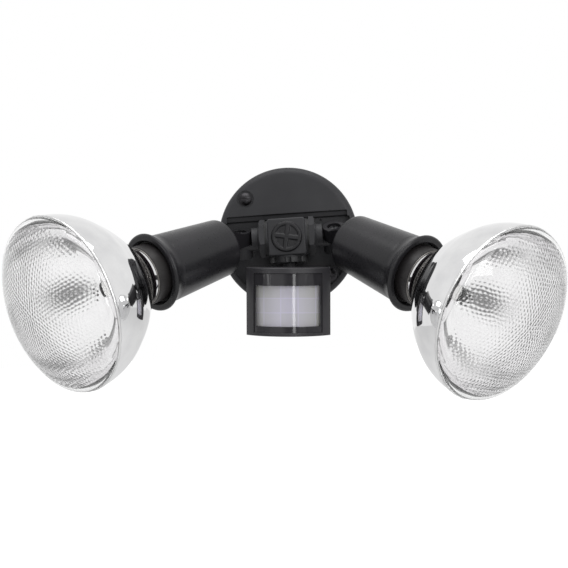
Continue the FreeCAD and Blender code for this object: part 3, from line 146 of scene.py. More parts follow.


# %% [markdown]
# ## Powder-coated die-cast aluminium
#
# The canopy, arms and lampholders are die-cast aluminium with a black powder coat. Baked powder
# flows into a satin film with a faint orange peel, about a millimetre from lump to lump. The film
# is a plain dielectric with black pigment in it. The canopy, the arms and the small parts round
# the hub get a lighter and duller copy of the coat: its lighter colour is painted fill light, which
# lifts the shade in the recesses round the hub. Each casting has an edge radius of about half a
# millimetre that its solid doesn't carry everywhere, so the relief starts from a Bevel node, and
# the edges catch the light as a soft line.

# %% Powder coat
def powder_coat(name, dark, light, rough, shine, peel_mm, edge_mm):
    material, tree, shader = start_material(name, IOR=1.5, Specular_IOR_Level=shine)
    vary_colour(tree, shader, lumps(tree, 28.0, 2.0), dark, light)
    vary_roughness(tree, shader, lumps(tree, 3.0, 4.0), rough - 0.04, rough + 0.05)
    add_relief(tree, shader, lumps(tree, peel_mm, 2.0), 0.06, 0.08, edge_mm)
    return material


coated = powder_coat("powder_coated_die_cast", "#1b1b1d", "#222124", 0.30, 0.28, 1.1, 0.7)
# painted fill light: a lighter copy of the coat, which lifts the shade in the recesses
shade_lifting_coat = powder_coat("powder_coat_with_painted_fill_light", "#313133", "#373739", 0.45, 0.15, 1.0, 0.35)
print("powder coats:", coated.name, "and", shade_lifting_coat.name)


# %% [markdown]
# ## Moulded plastics
#
# The sensor housing is moulded ABS. Its tool was spark-eroded, which leaves a fine even grain
# that looks satin. The curved bezel came from a polished tool and looks wet. The inner parts are
# nylon, phenolic, polyester and glass epoxy. They differ in colour, in gloss and in their grain,
# so one function with those as inputs serves them all.

# %% Plastics
def moulded(name, colour, shade, rough, grain_mm, relief, edge_mm=0.4):
    material, tree, shader = start_material(name, IOR=1.53, Specular_IOR_Level=0.3)
    vary_colour(tree, shader, lumps(tree, 18.0, 3.0), colour, shade)
    grain = lumps(tree, grain_mm, 2.0)
    vary_roughness(tree, shader, grain, max(rough - 0.05, 0.02), rough + 0.05)
    add_relief(tree, shader, grain, relief, 0.05, edge_mm)
    return material


# the real grains are some ten times finer, which wouldn't show from where the camera stands
satin_abs = moulded("spark_eroded_abs", "#2b2a2d", "#333235", 0.36, 0.5, 0.10)
gloss_abs = moulded("polished_abs", "#29282b", "#302f32", 0.07, 9.0, 0.03)
black_nylon = moulded("black_nylon", "#161618", "#1e1e20", 0.42, 0.6, 0.12)
phenolic = moulded("brown_phenolic", "#3a2a1e", "#4a3627", 0.38, 0.8, 0.12)
grey_abs = moulded("grey_abs", "#7f7f83", "#8d8d91", 0.40, 0.5, 0.10)
blue_box = moulded("blue_polyester", "#24569c", "#2d62ab", 0.35, 0.5, 0.08)
board_green = moulded("glass_epoxy_board", "#1a4f30", "#23643d", 0.30, 0.7, 0.10)
print("plastics:", satin_abs.name, "to", board_green.name)


# %% [markdown]
# ## Rubber and foam
#
# The washers and the rings in the mouths are black EPDM rubber: matt, and a little grey from
# bloom. The gasket behind the canopy is closed-cell foam with millimetre cells. Neither has much
# gloss, and both have a deeper relief than a moulded plastic, so the same function makes them
# with other numbers.

# %% Rubber and foam
rubber = moulded("epdm_rubber", "#202020", "#282828", 0.62, 0.9, 0.25)
foam = moulded("closed_cell_foam", "#191919", "#242424", 0.85, 1.2, 0.8, 0.2)
print("soft parts:", rubber.name, "and", foam.name)


# %% [markdown]
# ## Bare and plated metals
#
# Metals are metallic all through, and only the colour and the surface change: zinc plate is
# bluish and cloudy, brass is warm, the lamp's shell is drawn aluminium, and the screws in front
# are steel with a black finish. Plating, drawing and turning leave marks of a few hundredths of a
# millimetre. Such marks can't show from where the camera stands, so they are drawn about half a
# millimetre wide, and give the metal its slightly broken shine.

# %% Metals
def metal(name, colour, shade, rough, mark_mm):
    material, tree, shader = start_material(name, Metallic=1.0)
    cloud = lumps(tree, 4.0, 4.0)
    vary_colour(tree, shader, cloud, colour, shade)
    vary_roughness(tree, shader, cloud, rough - 0.05, rough + 0.08)
    add_relief(tree, shader, lumps(tree, mark_mm, 2.0), 0.12, 0.03)
    return material


zinc = metal("zinc_plated_steel", "#a9adb3", "#bfc2c4", 0.32, 0.4)
brass = metal("drawn_brass", "#a98543", "#c29c56", 0.28, 0.4)
lamp_shell = metal("drawn_aluminium", "#bdbebf", "#cfd0d0", 0.26, 0.4)
solder = metal("tin_solder", "#9c9da0", "#b3b4b6", 0.35, 0.9)
nickel = metal("nickel_can", "#aeaaa0", "#c4c0b6", 0.20, 0.5)
black_steel = metal("black_oxide_steel", "#2b2a2c", "#39383a", 0.34, 0.5)
print("metals:", zinc.name, "to", black_steel.name)


# %% [markdown]
# ## Pressed glass and the mirror in the lamp
#
# The lamp is two pressed pieces of hard borosilicate glass, sealed at the rim. The bowl is coated
# with aluminium, which is the mirror. The front is clear. Seen through the clear front, the
# mirror shows whatever is before the lamp, broken up by small dimples pressed in the glass. So
# the glass has next to no colour of its own. Where the two pieces are fused, the coat runs on
# over the rim, duller than on the bowl. Outside, round the throat, a band above a narrow bright
# collar is painted as dark glass: a painted reflection of the black lampholder. The inside of the
# neck is painted dark as well: painted shade, where no light reaches.

# %% Glass and mirror
def clear_glass(name, tint):
    material, tree, shader = start_material(name, IOR=1.474, Transmission_Weight=1.0)
    flow = lumps(tree, 22.0, 2.0)
    vary_colour(tree, shader, flow, "#ffffff", tint)
    vary_roughness(tree, shader, flow, 0.01, 0.03)
    return material


def mirror_coat(name, colour, shade, rough):
    material, tree, shader = start_material(name, Metallic=1.0)
    cloud = lumps(tree, 14.0, 4.0)
    vary_colour(tree, shader, cloud, colour, shade)
    vary_roughness(tree, shader, cloud, rough, rough + 0.03)
    add_relief(tree, shader, lumps(tree, 16.0, 1.0), 0.35, 0.5)
    return material


lens_glass = clear_glass("pressed_borosilicate", "#f9f9f9")
burner_glass = clear_glass("quartz_burner", "#fdfdfb")
mirror = mirror_coat("aluminised_glass_face", "#f4f3f4", "#fafafa", 0.03)
mirror_back = mirror_coat("aluminised_glass_back", "#d6d6d7", "#e3e3e3", 0.03)
rim_glass = mirror_coat("silvered_glass_rim", "#cbcbcb", "#dadada", 0.30)
# black glass for the lamp's insulator, and the painted reflection of the black lampholder on the
# bowl's throat
black_glass = moulded("black_glass", "#120e11", "#1b1518", 0.08, 3.0, 0.02)
# painted shade inside the lamp's neck, where no light reaches
painted_neck_shade = moulded("painted_shade_in_neck", "#17161a", "#242227", 0.25, 3.0, 0.05)
print("glasses:", lens_glass.name, "to", painted_neck_shade.name)


# %% [markdown]
# ## The skirt, in painted shade
#
# A brass skirt joins the lamp's screw base to its glass. It is drawn near black and without the
# metal's shine, so the function of the plastics makes it: that colour is painted shade, for the
# dark gap in the lampholder's mouth. Only the edge that hands rub has its metal back, and that is
# a metal again, in a dull grey brown.

# %% Skirt in painted shade, and rubbed brass
# painted shade: the skirt drawn near black, for the dark gap in the lampholder's mouth
skirt_painted_shade = moulded("skirt_in_painted_shade", "#1c1a1b", "#242222", 0.40, 0.9, 0.10)
rubbed = metal("rubbed_brass_edge", "#6f6c69", "#8b8885", 0.36, 0.5)
print("skirt:", skirt_painted_shade.name, "and", rubbed.name)


# %% [markdown]
# ## The milky window
#
# The sensor looks out through a curved window of high-density polyethylene, which lets body heat
# pass and only glows milky in daylight. It is moulded in facets, each a small lens: three rows of
# five, where the frame cuts the outer two columns narrow. The facets differ a little in how they
# scatter, and a fine pale groove parts them. The facets could be cut into the mesh, but they are
# on the window's inner face and only show as tone, so the finish draws them. The grid is worked
# out from the ball that the sensor hangs on and from the sensor's own axes, which lean by 3.7
# degrees: columns 12.5 mm wide, and rows that part 11 mm and 22 mm below the ball. Each facet's
# number feeds a White Noise node for its tone, and the plastic is a little bluer in the middle,
# where it is thinnest.

# %% Facets of the window
BALL = tuple(JOINTS["sensor_pan"]["pos_m"])
LEAN = math.radians(3.7)
COLUMN_WIDTH = 12.5 * MM
COLUMN_SHIFT = 0.4
COLUMN_GROOVE = 0.03
ROW_SPLITS = (-11.2 * MM, -21.8 * MM)
ROW_GROOVE = 0.35 * MM
ROW_STEP = 0.37


def facet_grid(tree):
    """Each facet's number, 1 in the grooves, and the way across from the middle."""
    point = add_node(tree, "ShaderNodeTexCoord").outputs["Object"]
    place = add_node(tree, "ShaderNodeVectorMath", {0: point, 1: BALL},
                     operation="SUBTRACT").outputs[0]
    across = add_node(tree, "ShaderNodeVectorMath",
                      {0: place, 1: (math.cos(LEAN), 0.0, -math.sin(LEAN))},
                      operation="DOT_PRODUCT").outputs["Value"]
    rise = add_node(tree, "ShaderNodeVectorMath",
                    {0: place, 1: (math.sin(LEAN), 0.0, math.cos(LEAN))},
                    operation="DOT_PRODUCT").outputs["Value"]
    column = add_node(tree, "ShaderNodeMath", {0: across, 1: COLUMN_WIDTH}, operation="DIVIDE")
    column = add_node(tree, "ShaderNodeMath", {0: column.outputs[0], 1: COLUMN_SHIFT}).outputs[0]
    number = add_node(tree, "ShaderNodeMath", {0: column}, operation="FLOOR").outputs[0]
    # going to and fro by half a column gives the distance to the nearest column's edge
    border = add_node(tree, "ShaderNodeMath", {0: column, 1: 0.5}, operation="PINGPONG")
    groove = add_node(tree, "ShaderNodeMath", {0: border.outputs[0], 1: COLUMN_GROOVE},
                      operation="LESS_THAN").outputs[0]
    # the step from row to row isn't a whole number, so no two facets share a number
    for split in ROW_SPLITS:
        below = add_node(tree, "ShaderNodeMath", {0: rise, 1: split},
                         operation="LESS_THAN").outputs[0]
        number = add_node(tree, "ShaderNodeMath", {0: below, 1: ROW_STEP, 2: number},
                          operation="MULTIPLY_ADD").outputs[0]
        here = add_node(tree, "ShaderNodeMath", {0: rise, 1: split, 2: ROW_GROOVE},
                        operation="COMPARE").outputs[0]
        groove = add_node(tree, "ShaderNodeMath", {0: groove, 1: here},
                          operation="MAXIMUM").outputs[0]
    return number, groove, across


print("the window's ball is at", [round(c / MM, 1) for c in BALL], "mm")


# %% Milky plastic
HALF_WINDOW = 22.0 * MM
BLUE_IN_MIDDLE = 0.35
BLUE_BY_FACET = 0.2
BLUE_IN_GROOVE = 0.3


def window_plastic(name):
    material, tree, shader = start_material(name, IOR=1.51, Roughness=0.08,
                                            Specular_IOR_Level=0.5, Subsurface_Weight=0.35,
                                            Subsurface_Scale=1.0 * MM)
    shader.inputs["Subsurface Radius"].default_value = (1.0, 0.9, 0.8)
    number, groove, across = facet_grid(tree)
    bump = add_node(tree, "ShaderNodeBump", {"Strength": 0.25, "Distance": 0.1 * MM,
                                             "Height": groove}, invert=True)
    tree.links.new(bump.outputs[0], shader.inputs["Normal"])
    tone = add_node(tree, "ShaderNodeTexWhiteNoise", {"W": number}, noise_dimensions="1D")
    aside = add_node(tree, "ShaderNodeMath", {0: across}, operation="ABSOLUTE").outputs[0]
    middle = add_node(tree, "ShaderNodeMapRange", {"Value": aside, "From Max": HALF_WINDOW,
                                                   "To Min": BLUE_IN_MIDDLE, "To Max": 0.0})
    share = middle.outputs["Result"]
    for part, weight in ((tone.outputs["Value"], BLUE_BY_FACET), (groove, BLUE_IN_GROOVE)):
        share = add_node(tree, "ShaderNodeMath", {0: part, 1: weight, 2: share},
                         operation="MULTIPLY_ADD").outputs[0]
    mix = add_node(tree, "ShaderNodeMix", {"Factor": share, 6: linear("#adadaa"),
                                           7: linear("#c7c3db")}, data_type="RGBA")
    tree.links.new(mix.outputs[2], shader.inputs["Base Color"])
    return material


milky = window_plastic("milky_polyethylene")
print("window:", milky.name, "with", len(milky.node_tree.nodes), "nodes")


# %% [markdown]
# ## A finish for every solid
#
# Most solids already have their final shape, so they keep it and only get their finish. The list
# says which finish each kind of piece has; a name stands for its twin on the other side too.

# %% Finish the solids
FINISHES = {
    coated: ["lampholder"],
    # painted fill light on the canopy, the arms and the parts round the hub
    shade_lifting_coat: ["canopy", "center_plug", "swivel_arm", "sensor_stem", "arm_nut",
                "knuckle_screw"],
    foam: ["canopy_gasket"],
    rubber: ["arm_gasket", "mouth_gasket"],
    zinc: ["knuckle_nut", "retainer_screws", "case_screws"],
    brass: ["ground_screw", "socket_shell", "socket_contact", "socket_screws"],
    phenolic: ["socket_body"],
    black_nylon: ["stem_nut", "ball_liner", "ball_retainer"],
    mirror: ["lamp_reflector"],
    lens_glass: ["lamp_lens"],
    # painted shade on the skirt
    skirt_painted_shade: ["lamp_skirt"],
    lamp_shell: ["lamp_screw_shell"],
    black_glass: ["lamp_insulator"],
    solder: ["lamp_eyelet"],
    burner_glass: ["lamp_burner"],
    satin_abs: ["sensor_front", "sensor_rear"],
    gloss_abs: ["sensor_bezel", "time_switch"],
    board_green: ["sensor_board"],
    nickel: ["pir_detector"],
    blue_box: ["relay", "range_pot"],
    grey_abs: ["range_knob", "time_slider", "photocell"],
    milky: ["sensor_lens"],
    black_steel: ["canopy_screws"],
}


def finish_node(name, material):
    slots = NODES[name].data.materials
    slots.clear()
    slots.append(material)


done = set()
for material, kinds in FINISHES.items():
    for kind in kinds:
        for name in (kind, "left_" + kind, "right_" + kind):
            if name in NODES:
                finish_node(name, material)
                done.add(name)
print("finished", len(done), "left", sorted(set(NODES) - done))


# %% [markdown]
# ## Where a head points
#
# Everything in a head is round about one line, the lamp's own axis. The joints of the frame say
# where that line starts and where it points, so a piece is made upright, about Z, and is then
# carried into place by one matrix. The piece's object stays at the origin: the place goes into
# the mesh.

# %% Head placement
SIDES = ("left", "right")


def placed(x_axis, y_axis, z_axis, origin):
    """The matrix that lays a piece's three axes along these directions, at this origin."""
    columns = [tuple(axis) + (0.0,) for axis in (x_axis, y_axis, z_axis)]
    columns.append(tuple(origin) + (1.0,))
    return Matrix(columns).transposed()


def head_matrix(side):
    """From a head made upright about Z, in metres, to its place in the frame."""
    aim = Vector(JOINTS[side + "_lamp_turn"]["axis"]).normalized()
    pin = Vector(JOINTS[side + "_knuckle"]["axis"]).normalized()
    pin = pin if pin.z > 0 else -pin
    return placed(pin.cross(aim), pin, aim, JOINTS[side + "_knuckle"]["pos_m"])


HEADS = {side: head_matrix(side) for side in SIDES}
for side, matrix in HEADS.items():
    print(side, "aims", [round(c, 3) for c in matrix.col[2]])


# %% [markdown]
# ## Turned shapes
#
# A turned piece is an outline swept round an axis. Blender's Spin or a Screw modifier would do
# it; here the rings are written straight from the outline, because then each ring's place and
# width are known, and the poles and the seam close by themselves. Arcs in the outline are given
# by the points that they pass through, as on a drawing.

# %% Arcs and lines of an outline
def arc(start, middle, end, steps):
    """Points of the arc through three points, without the last."""
    (ax, ay), (bx, by), (cx, cy) = start, middle, end
    twice = 2 * (ax * (by - cy) + bx * (cy - ay) + cx * (ay - by))
    a2, b2, c2 = ax * ax + ay * ay, bx * bx + by * by, cx * cx + cy * cy
    ox = (a2 * (by - cy) + b2 * (cy - ay) + c2 * (ay - by)) / twice
    oy = (a2 * (cx - bx) + b2 * (ax - cx) + c2 * (bx - ax)) / twice
    radius = math.hypot(ax - ox, ay - oy)
    first = math.atan2(ay - oy, ax - ox)
    via = (math.atan2(by - oy, bx - ox) - first) % math.tau
    sweep = (math.atan2(cy - oy, cx - ox) - first) % math.tau
    if via > sweep:
        sweep -= math.tau
    return [(ox + radius * math.cos(first + sweep * k / steps),
             oy + radius * math.sin(first + sweep * k / steps)) for k in range(steps)]


def dome(edge, apex, steps):
    """Points of an arc from the edge (radius, height) to the apex on the axis, without the last."""
    return arc(edge, (0.0, apex), (-edge[0], edge[1]), steps * 2)[:steps]


def line(start, end, steps):
    """Points of a straight run, without the last."""
    return [(start[0] + (end[0] - start[0]) * k / steps,
             start[1] + (end[1] - start[1]) * k / steps) for k in range(steps)]


def oval(radius, height, half_width, half_height, steps):
    """The outline of a turned ring: an oval round the point (radius, height)."""
    return [(radius + half_width * math.cos(math.tau * k / steps),
             height + half_height * math.sin(math.tau * k / steps)) for k in range(steps)]


print("a quarter circle's half way is at", arc((1, 0), (0.6, 0.8), (0, 1), 2)[1])


# %% Turned meshes
POLE = 1e-6


def closed_mesh(name, points_mm, faces):
    """A closed mesh from points in millimetres, with its faces turned outwards."""
    mesh = bpy.data.meshes.new(name)
    mesh.from_pydata([[c * MM for c in point] for point in points_mm], [], faces)
    made = bmesh.new()
    made.from_mesh(mesh)
    bmesh.ops.recalc_face_normals(made, faces=made.faces)
    made.to_mesh(mesh)
    made.free()
    return mesh


def turned_mesh(name, outline, segments):
    """A closed solid of revolution about Z from an outline of (radius, height), in millimetres."""
    points, rings = [], []
    for radius, height in outline:
        if radius < POLE:
            rings.append([len(points)] * segments)
            points.append((0.0, 0.0, height))
            continue
        rings.append(list(range(len(points), len(points) + segments)))
        for k in range(segments):
            turn = math.tau * k / segments
            points.append((radius * math.cos(turn), radius * math.sin(turn), height))
    faces = []
    has_hole = outline[0][0] > POLE or outline[-1][0] > POLE
    pairs = list(zip(rings, rings[1:])) + ([(rings[-1], rings[0])] if has_hole else [])
    for low, high in pairs:
        for k in range(segments):
            n = (k + 1) % segments
            corners = [low[k], low[n], high[n], high[k]]
            face = [c for i, c in enumerate(corners) if c != corners[i - 1]]
            if len(face) > 2:
                faces.append(face)
    return closed_mesh(name, points, faces)


def smooth(mesh, sharp_degrees=180.0):
    """Smooth shading, with edges over the angle kept sharp."""
    mesh.shade_smooth()
    if sharp_degrees < 180.0:
        mesh.set_sharp_from_angle(angle=math.radians(sharp_degrees))


def add_piece(name, mesh, matrix, body, replaced=()):
    """Puts a mesh in place and hands it to the frame."""
    mesh.transform(matrix)
    piece = bpy.data.objects.new(name, mesh)
    bpy.context.scene.collection.objects.link(piece)
    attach(piece, body)
    if replaced:
        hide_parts(*replaced)
    print(name, len(mesh.polygons), "faces")


print("a point within", POLE, "mm of the axis is a pole")


# %% [markdown]
# ## The lamp's bowl
#
# The bowl of the lamp is a mirror in plain sight, and a mirror shows every flat of a coarse mesh.
# So it is turned again, from the drawing's outline, in 256 steps. It flares from the neck in two
# opposite curves, like a bell, and meets the front glass at the seam. Heights count from the
# knuckle's pin along the lamp's axis. The outside is coated as a mirror's back and the inside as
# its face. The inside of the neck is painted dark, as painted shade, and so is a narrow band round
# the throat, as a painted reflection of the black lampholder.

# %% Outline of the bowl
MOUTH = 91.5
SEAM = MOUTH + 76.8
GLASS = 3.0
NECK = 18.8
NECK_FOOT = MOUTH - 7.0
COLLAR = (20.1, MOUTH + 9.5)
THROAT = (20.3, MOUTH + 11.6)
WAIST = (26.6, MOUTH + 21.5)
FLARE = (38.4, MOUTH + 32.0)
BOWL = (50.2, MOUTH + 47.0)
RIM = (60.5, SEAM)


def between(start, end, aside, along):
    """The point that lies so far of the way aside, and so far of the way along."""
    return start[0] + (end[0] - start[0]) * aside, start[1] + (end[1] - start[1]) * along


def inward(point, aside, up):
    """A point moved towards the axis and up by parts of the glass's thickness."""
    return point[0] - aside * GLASS, point[1] + up * GLASS


RIM_INSIDE = inward(RIM, 1.0, 0.0)


def bowl_outline():
    """The bowl's outside from the foot to the rim, then its inside back to the foot."""
    belly = between(BOWL, RIM, 0.715, 0.46)
    outer = line((0.0, NECK_FOOT), (NECK, NECK_FOOT), 6)
    outer += line((NECK, NECK_FOOT), (NECK, COLLAR[1]), 6)
    outer += line((NECK, COLLAR[1]), COLLAR, 1)
    outer += line(COLLAR, THROAT, 2)
    outer += arc(THROAT, between(THROAT, WAIST, 0.36, 0.56), WAIST, 10)
    outer += arc(WAIST, FLARE, BOWL, 22)
    outer += arc(BOWL, belly, RIM, 24)
    outer += line(RIM, RIM_INSIDE, 2)
    bowl, waist = inward(BOWL, 0.8, 0.6), inward(WAIST, 0.7, 0.7)
    bore, foot = NECK - GLASS, NECK_FOOT + GLASS
    inner = arc(RIM_INSIDE, inward(belly, 0.9, 0.3), bowl, 24)
    inner += arc(bowl, inward(FLARE, 0.7, 0.7), waist, 22)
    inner += line(waist, (bore, THROAT[1]), 8)
    inner += line((bore, THROAT[1]), (bore, foot), 5)
    inner += line((bore, foot), (0.0, foot), 5)
    return outer + inner + [(0.0, foot)]


print("bowl outline of", len(bowl_outline()), "points")


# %% Turn and coat the bowls
NECK_REACH = 18.0 * MM
NECK_START = (MOUTH - 6.0) * MM
# the outside of the throat between these heights takes a painted reflection of the black lampholder
BAND_START = (MOUTH + 11.3) * MM
BAND_END = (MOUTH + 14.0) * MM
BACK, FACE, DARK, BAND = range(4)


def coat_bowl(mesh):
    """Gives each face its coat, by where it lies and which way it looks."""
    for material in (mirror_back, mirror, painted_neck_shade, black_glass):
        mesh.materials.append(material)
    for face in mesh.polygons:
        reach = math.hypot(face.center.x, face.center.y)
        outward = face.normal.x * face.center.x + face.normal.y * face.center.y
        coat = BACK
        # painted shade: the inside of the neck is drawn dark
        if reach < NECK_REACH and face.center.z > NECK_START:
            coat = DARK
        elif outward < 0.0:
            coat = FACE
        # painted reflection: a dark band round the throat, for the black lampholder mirrored there
        elif BAND_START < face.center.z < BAND_END:
            coat = BAND
        face.material_index = coat


for side in SIDES:
    mesh = turned_mesh(side + "_bowl", bowl_outline(), 256)
    coat_bowl(mesh)
    smooth(mesh, 40.0)
    add_piece(side + "_mirrored_bowl", mesh, HEADS[side], side + "_lamp",
              [side + "_lamp_reflector"])


# %% [markdown]
# ## Points that a rule moves
#
# Two pieces of the lamp follow a rule: the dimples of the front glass and the unevenness of its
# fused rim. Both are Geometry Nodes trees that work out an offset for each point. They start and
# end alike, so one function opens such a tree, with its sizes and its material as named inputs,
# and one ends it: it moves the points and sets the material. A third runs a tree on a mesh. It
# sets each input by the socket's identifier and takes the result as a plain mesh.

# %% Trees that move points
def open_tree(name, sizes):
    """A Geometry Nodes tree with a geometry, the named sizes and a material as its inputs."""
    tree = bpy.data.node_groups.new(name, "GeometryNodeTree")
    face = tree.interface
    face.new_socket("Geometry", in_out="INPUT", socket_type="NodeSocketGeometry")
    for label in sizes:
        face.new_socket(label, in_out="INPUT", socket_type="NodeSocketFloat")
    face.new_socket("Material", in_out="INPUT", socket_type="NodeSocketMaterial")
    face.new_socket("Geometry", in_out="OUTPUT", socket_type="NodeSocketGeometry")
    return tree, add_node(tree, "NodeGroupInput").outputs


def end_tree(tree, given, offset):
    """Moves every point by the offset and sets the material."""
    moved = add_node(tree, "GeometryNodeSetPosition",
                     {"Geometry": given["Geometry"], "Offset": offset}).outputs[0]
    whole = add_node(tree, "GeometryNodeRealizeInstances", {"Geometry": moved}).outputs[0]
    coloured = add_node(tree, "GeometryNodeSetMaterial",
                        {"Geometry": whole, "Material": given["Material"]}).outputs[0]
    add_node(tree, "NodeGroupOutput", {"Geometry": coloured})
    print(tree.name, "has", len(tree.nodes), "nodes")
    return tree


def grown(name, mesh, tree, **inputs):
    """Runs a Geometry Nodes tree on a mesh and returns the plain result."""
    carrier = bpy.data.objects.new(name, mesh)
    bpy.context.scene.collection.objects.link(carrier)
    modifier = carrier.modifiers.new("grow", "NODES")
    modifier.node_group = tree
    for item in tree.interface.items_tree:
        if item.in_out == "INPUT" and item.name in inputs:
            modifier[item.identifier] = inputs[item.name]
    graph = bpy.context.evaluated_depsgraph_get()
    result = bpy.data.meshes.new_from_object(carrier.evaluated_get(graph))
    bpy.data.objects.remove(carrier)
    result.name = name
    return result


print("trees can be opened, ended and run")


# %% [markdown]
# ## The front glass and its dimples
#
# The front glass is smooth outside and dimpled inside, so that the beam spreads evenly. The
# dimples stand in rows like the cells of a honeycomb, 2.9 mm apart. A bump texture could fake
# them, but glass bends light at its real surface, and the exported shape should have them too.
# The rule is short: three waves, each turned by 60 degrees, add up to a honeycomb. The tree reads
# each point's place, strays from it a little so that the rows aren't dead straight, works out the
# sum and lifts the point. Towards the edge of the field the dimples fade out.

# %% The dimple rule
WAVE_TO_SPACING = 0.866
STRAY_SCALE = 140.0
FADE_WIDTH = 2.0 * MM


def dimple_tree(name):
    tree, given = open_tree(name, ("Spacing", "Depth", "Field", "Jitter"))
    place = add_node(tree, "GeometryNodeInputPosition").outputs[0]
    # a scale of 140 to the metre gives the stray lumps of about 7 mm
    cloud = add_node(tree, "ShaderNodeTexNoise", {"Vector": place, "Scale": STRAY_SCALE,
                                                  "Detail": 2.0}).outputs["Color"]
    cloud = add_node(tree, "ShaderNodeVectorMath", {0: cloud, 1: (0.5, 0.5, 0.5)},
                     operation="SUBTRACT").outputs[0]
    stray = add_node(tree, "ShaderNodeVectorMath", {0: cloud, "Scale": given["Jitter"]},
                     operation="SCALE").outputs[0]
    cell = add_node(tree, "ShaderNodeVectorMath", {0: place, 1: stray}).outputs[0]
    # a honeycomb of that spacing needs waves 0.866 of it long
    pitch = add_node(tree, "ShaderNodeMath", {0: given["Spacing"], 1: WAVE_TO_SPACING / math.tau},
                     operation="MULTIPLY").outputs[0]
    waves = []
    for k in range(3):
        turn = math.pi * k / 3.0
        along = add_node(tree, "ShaderNodeVectorMath",
                         {0: cell, 1: (math.cos(turn), math.sin(turn), 0.0)},
                         operation="DOT_PRODUCT").outputs["Value"]
        phase = add_node(tree, "ShaderNodeMath", {0: along, 1: pitch}, operation="DIVIDE")
        wave = add_node(tree, "ShaderNodeMath", {0: phase.outputs[0]}, operation="COSINE")
        waves.append(wave.outputs[0])
    lift = waves[0]
    for wave in waves[1:]:
        lift = add_node(tree, "ShaderNodeMath", {0: lift, 1: wave}, operation="ADD").outputs[0]
    flat = add_node(tree, "ShaderNodeVectorMath", {0: place, 1: (1.0, 1.0, 0.0)},
                    operation="MULTIPLY").outputs[0]
    reach = add_node(tree, "ShaderNodeVectorMath", {0: flat}, operation="LENGTH").outputs["Value"]
    edge = add_node(tree, "ShaderNodeMath", {0: given["Field"], 1: FADE_WIDTH}, operation="ADD")
    fade = add_node(tree, "ShaderNodeMapRange",
                    {"Value": reach, "From Min": given["Field"], "From Max": edge.outputs[0],
                     "To Min": 1.0, "To Max": 0.0}, interpolation_type="SMOOTHSTEP")
    inside = add_node(tree, "GeometryNodeInputNamedAttribute", {"Name": "inside"},
                      data_type="FLOAT").outputs["Attribute"]
    # the last factor brings the sum of three waves back to the height of one
    for factor in (given["Depth"], fade.outputs["Result"], inside, 0.333):
        lift = add_node(tree, "ShaderNodeMath", {0: lift, 1: factor},
                        operation="MULTIPLY").outputs[0]
    offset = add_node(tree, "ShaderNodeCombineXYZ", {"Z": lift}).outputs[0]
    return end_tree(tree, given, offset)


DIMPLES = dimple_tree("honeycomb_dimples")


# %% [markdown]
# ## Turning the front glasses
#
# The front glass is a shallow dome on a short side wall. Its inside has 92 rings of 480 points,
# so that each dimple is four points wide or more. A number on each point, called inside, is 1 on
# the inner face and 0 on the outer one, and tells the dimple rule which points it may lift.

# %% Turn the front glasses
LENS_EDGE = (56.4, SEAM + 7.7)
LENS_TOP = SEAM + 25.1


def lens_outline():
    """The outside from the rim to the middle, and the inside from the middle to the rim."""
    outer = arc(RIM, between(RIM, LENS_EDGE, 0.22, 0.55), LENS_EDGE, 12)
    outer += dome(LENS_EDGE, LENS_TOP, 40) + [(0.0, LENS_TOP)]
    edge = inward(LENS_EDGE, 0.6, -0.8)
    inner = dome(edge, LENS_TOP - GLASS, 92) + [(0.0, LENS_TOP - GLASS)]
    wall = arc(edge, inward(between(RIM, LENS_EDGE, 0.0, 0.42), 1.25, 0.0), RIM_INSIDE, 8)
    wall += line(RIM_INSIDE, RIM, 2)
    return outer, inner[::-1] + wall[1:]


def lens_mesh(name, segments):
    """The plain glass, with the number that marks its inner points."""
    outer, inner = lens_outline()
    shell = turned_mesh(name, outer + inner, segments)
    first_inner = sum(1 if radius < POLE else segments for radius, _ in outer)
    flags = np.zeros(len(shell.vertices), np.float32)
    flags[first_inner:] = 1.0
    mark = shell.attributes.new("inside", "FLOAT", "POINT")
    mark.data.foreach_set("value", flags)
    return shell


for side in SIDES:
    shell = lens_mesh(side + "_glass", 480)
    mesh = grown(side + "_front_glass", shell, DIMPLES, Spacing=2.9 * MM, Depth=0.27 * MM,
                 Field=53.0 * MM, Jitter=3.0 * MM, Material=lens_glass)
    smooth(mesh, 50.0)
    add_piece(side + "_front_glass", mesh, HEADS[side], side + "_lamp",
              [side + "_lamp_lens"])


# %% [markdown]
# ## The closure plug in the hub
#
# The hub's front port is shut by a die-cast plug. Its face has a raised round ring and a broad
# cross, which a driver or a coin turns. Everything on a casting is softly rounded, so the face is
# made as a landscape: each point of a disc is lifted by a rule of its distance from the ring's
# circle and from the cross's two bars. The cross stands eleven degrees off the vertical, as a
# screwed-in plug may. All sizes are in millimetres.

# %% The plug's landscape
PLUG_RADIUS = 11.7
PLUG_FOOT = 42.0
PLUG_DROP = 1.0
PLUG_TURN = math.radians(-11.0)
EDGE_HEIGHT = 0.25
FIELD_HEIGHT = 0.4
RELIEF_HEIGHT = 0.8
RING_RADIUS = 9.9
RING_HALF = 0.8
BAR_HALF = 1.1
BAR_SLOPE = 1.0
SLOPE = 0.8


def soft_step(distance, half, slope):
    """1 within half of the line, 0 beyond half + slope, and smooth between."""
    t = min(max((half + slope - abs(distance)) / slope, 0.0), 1.0)
    return t * t * (3.0 - 2.0 * t)


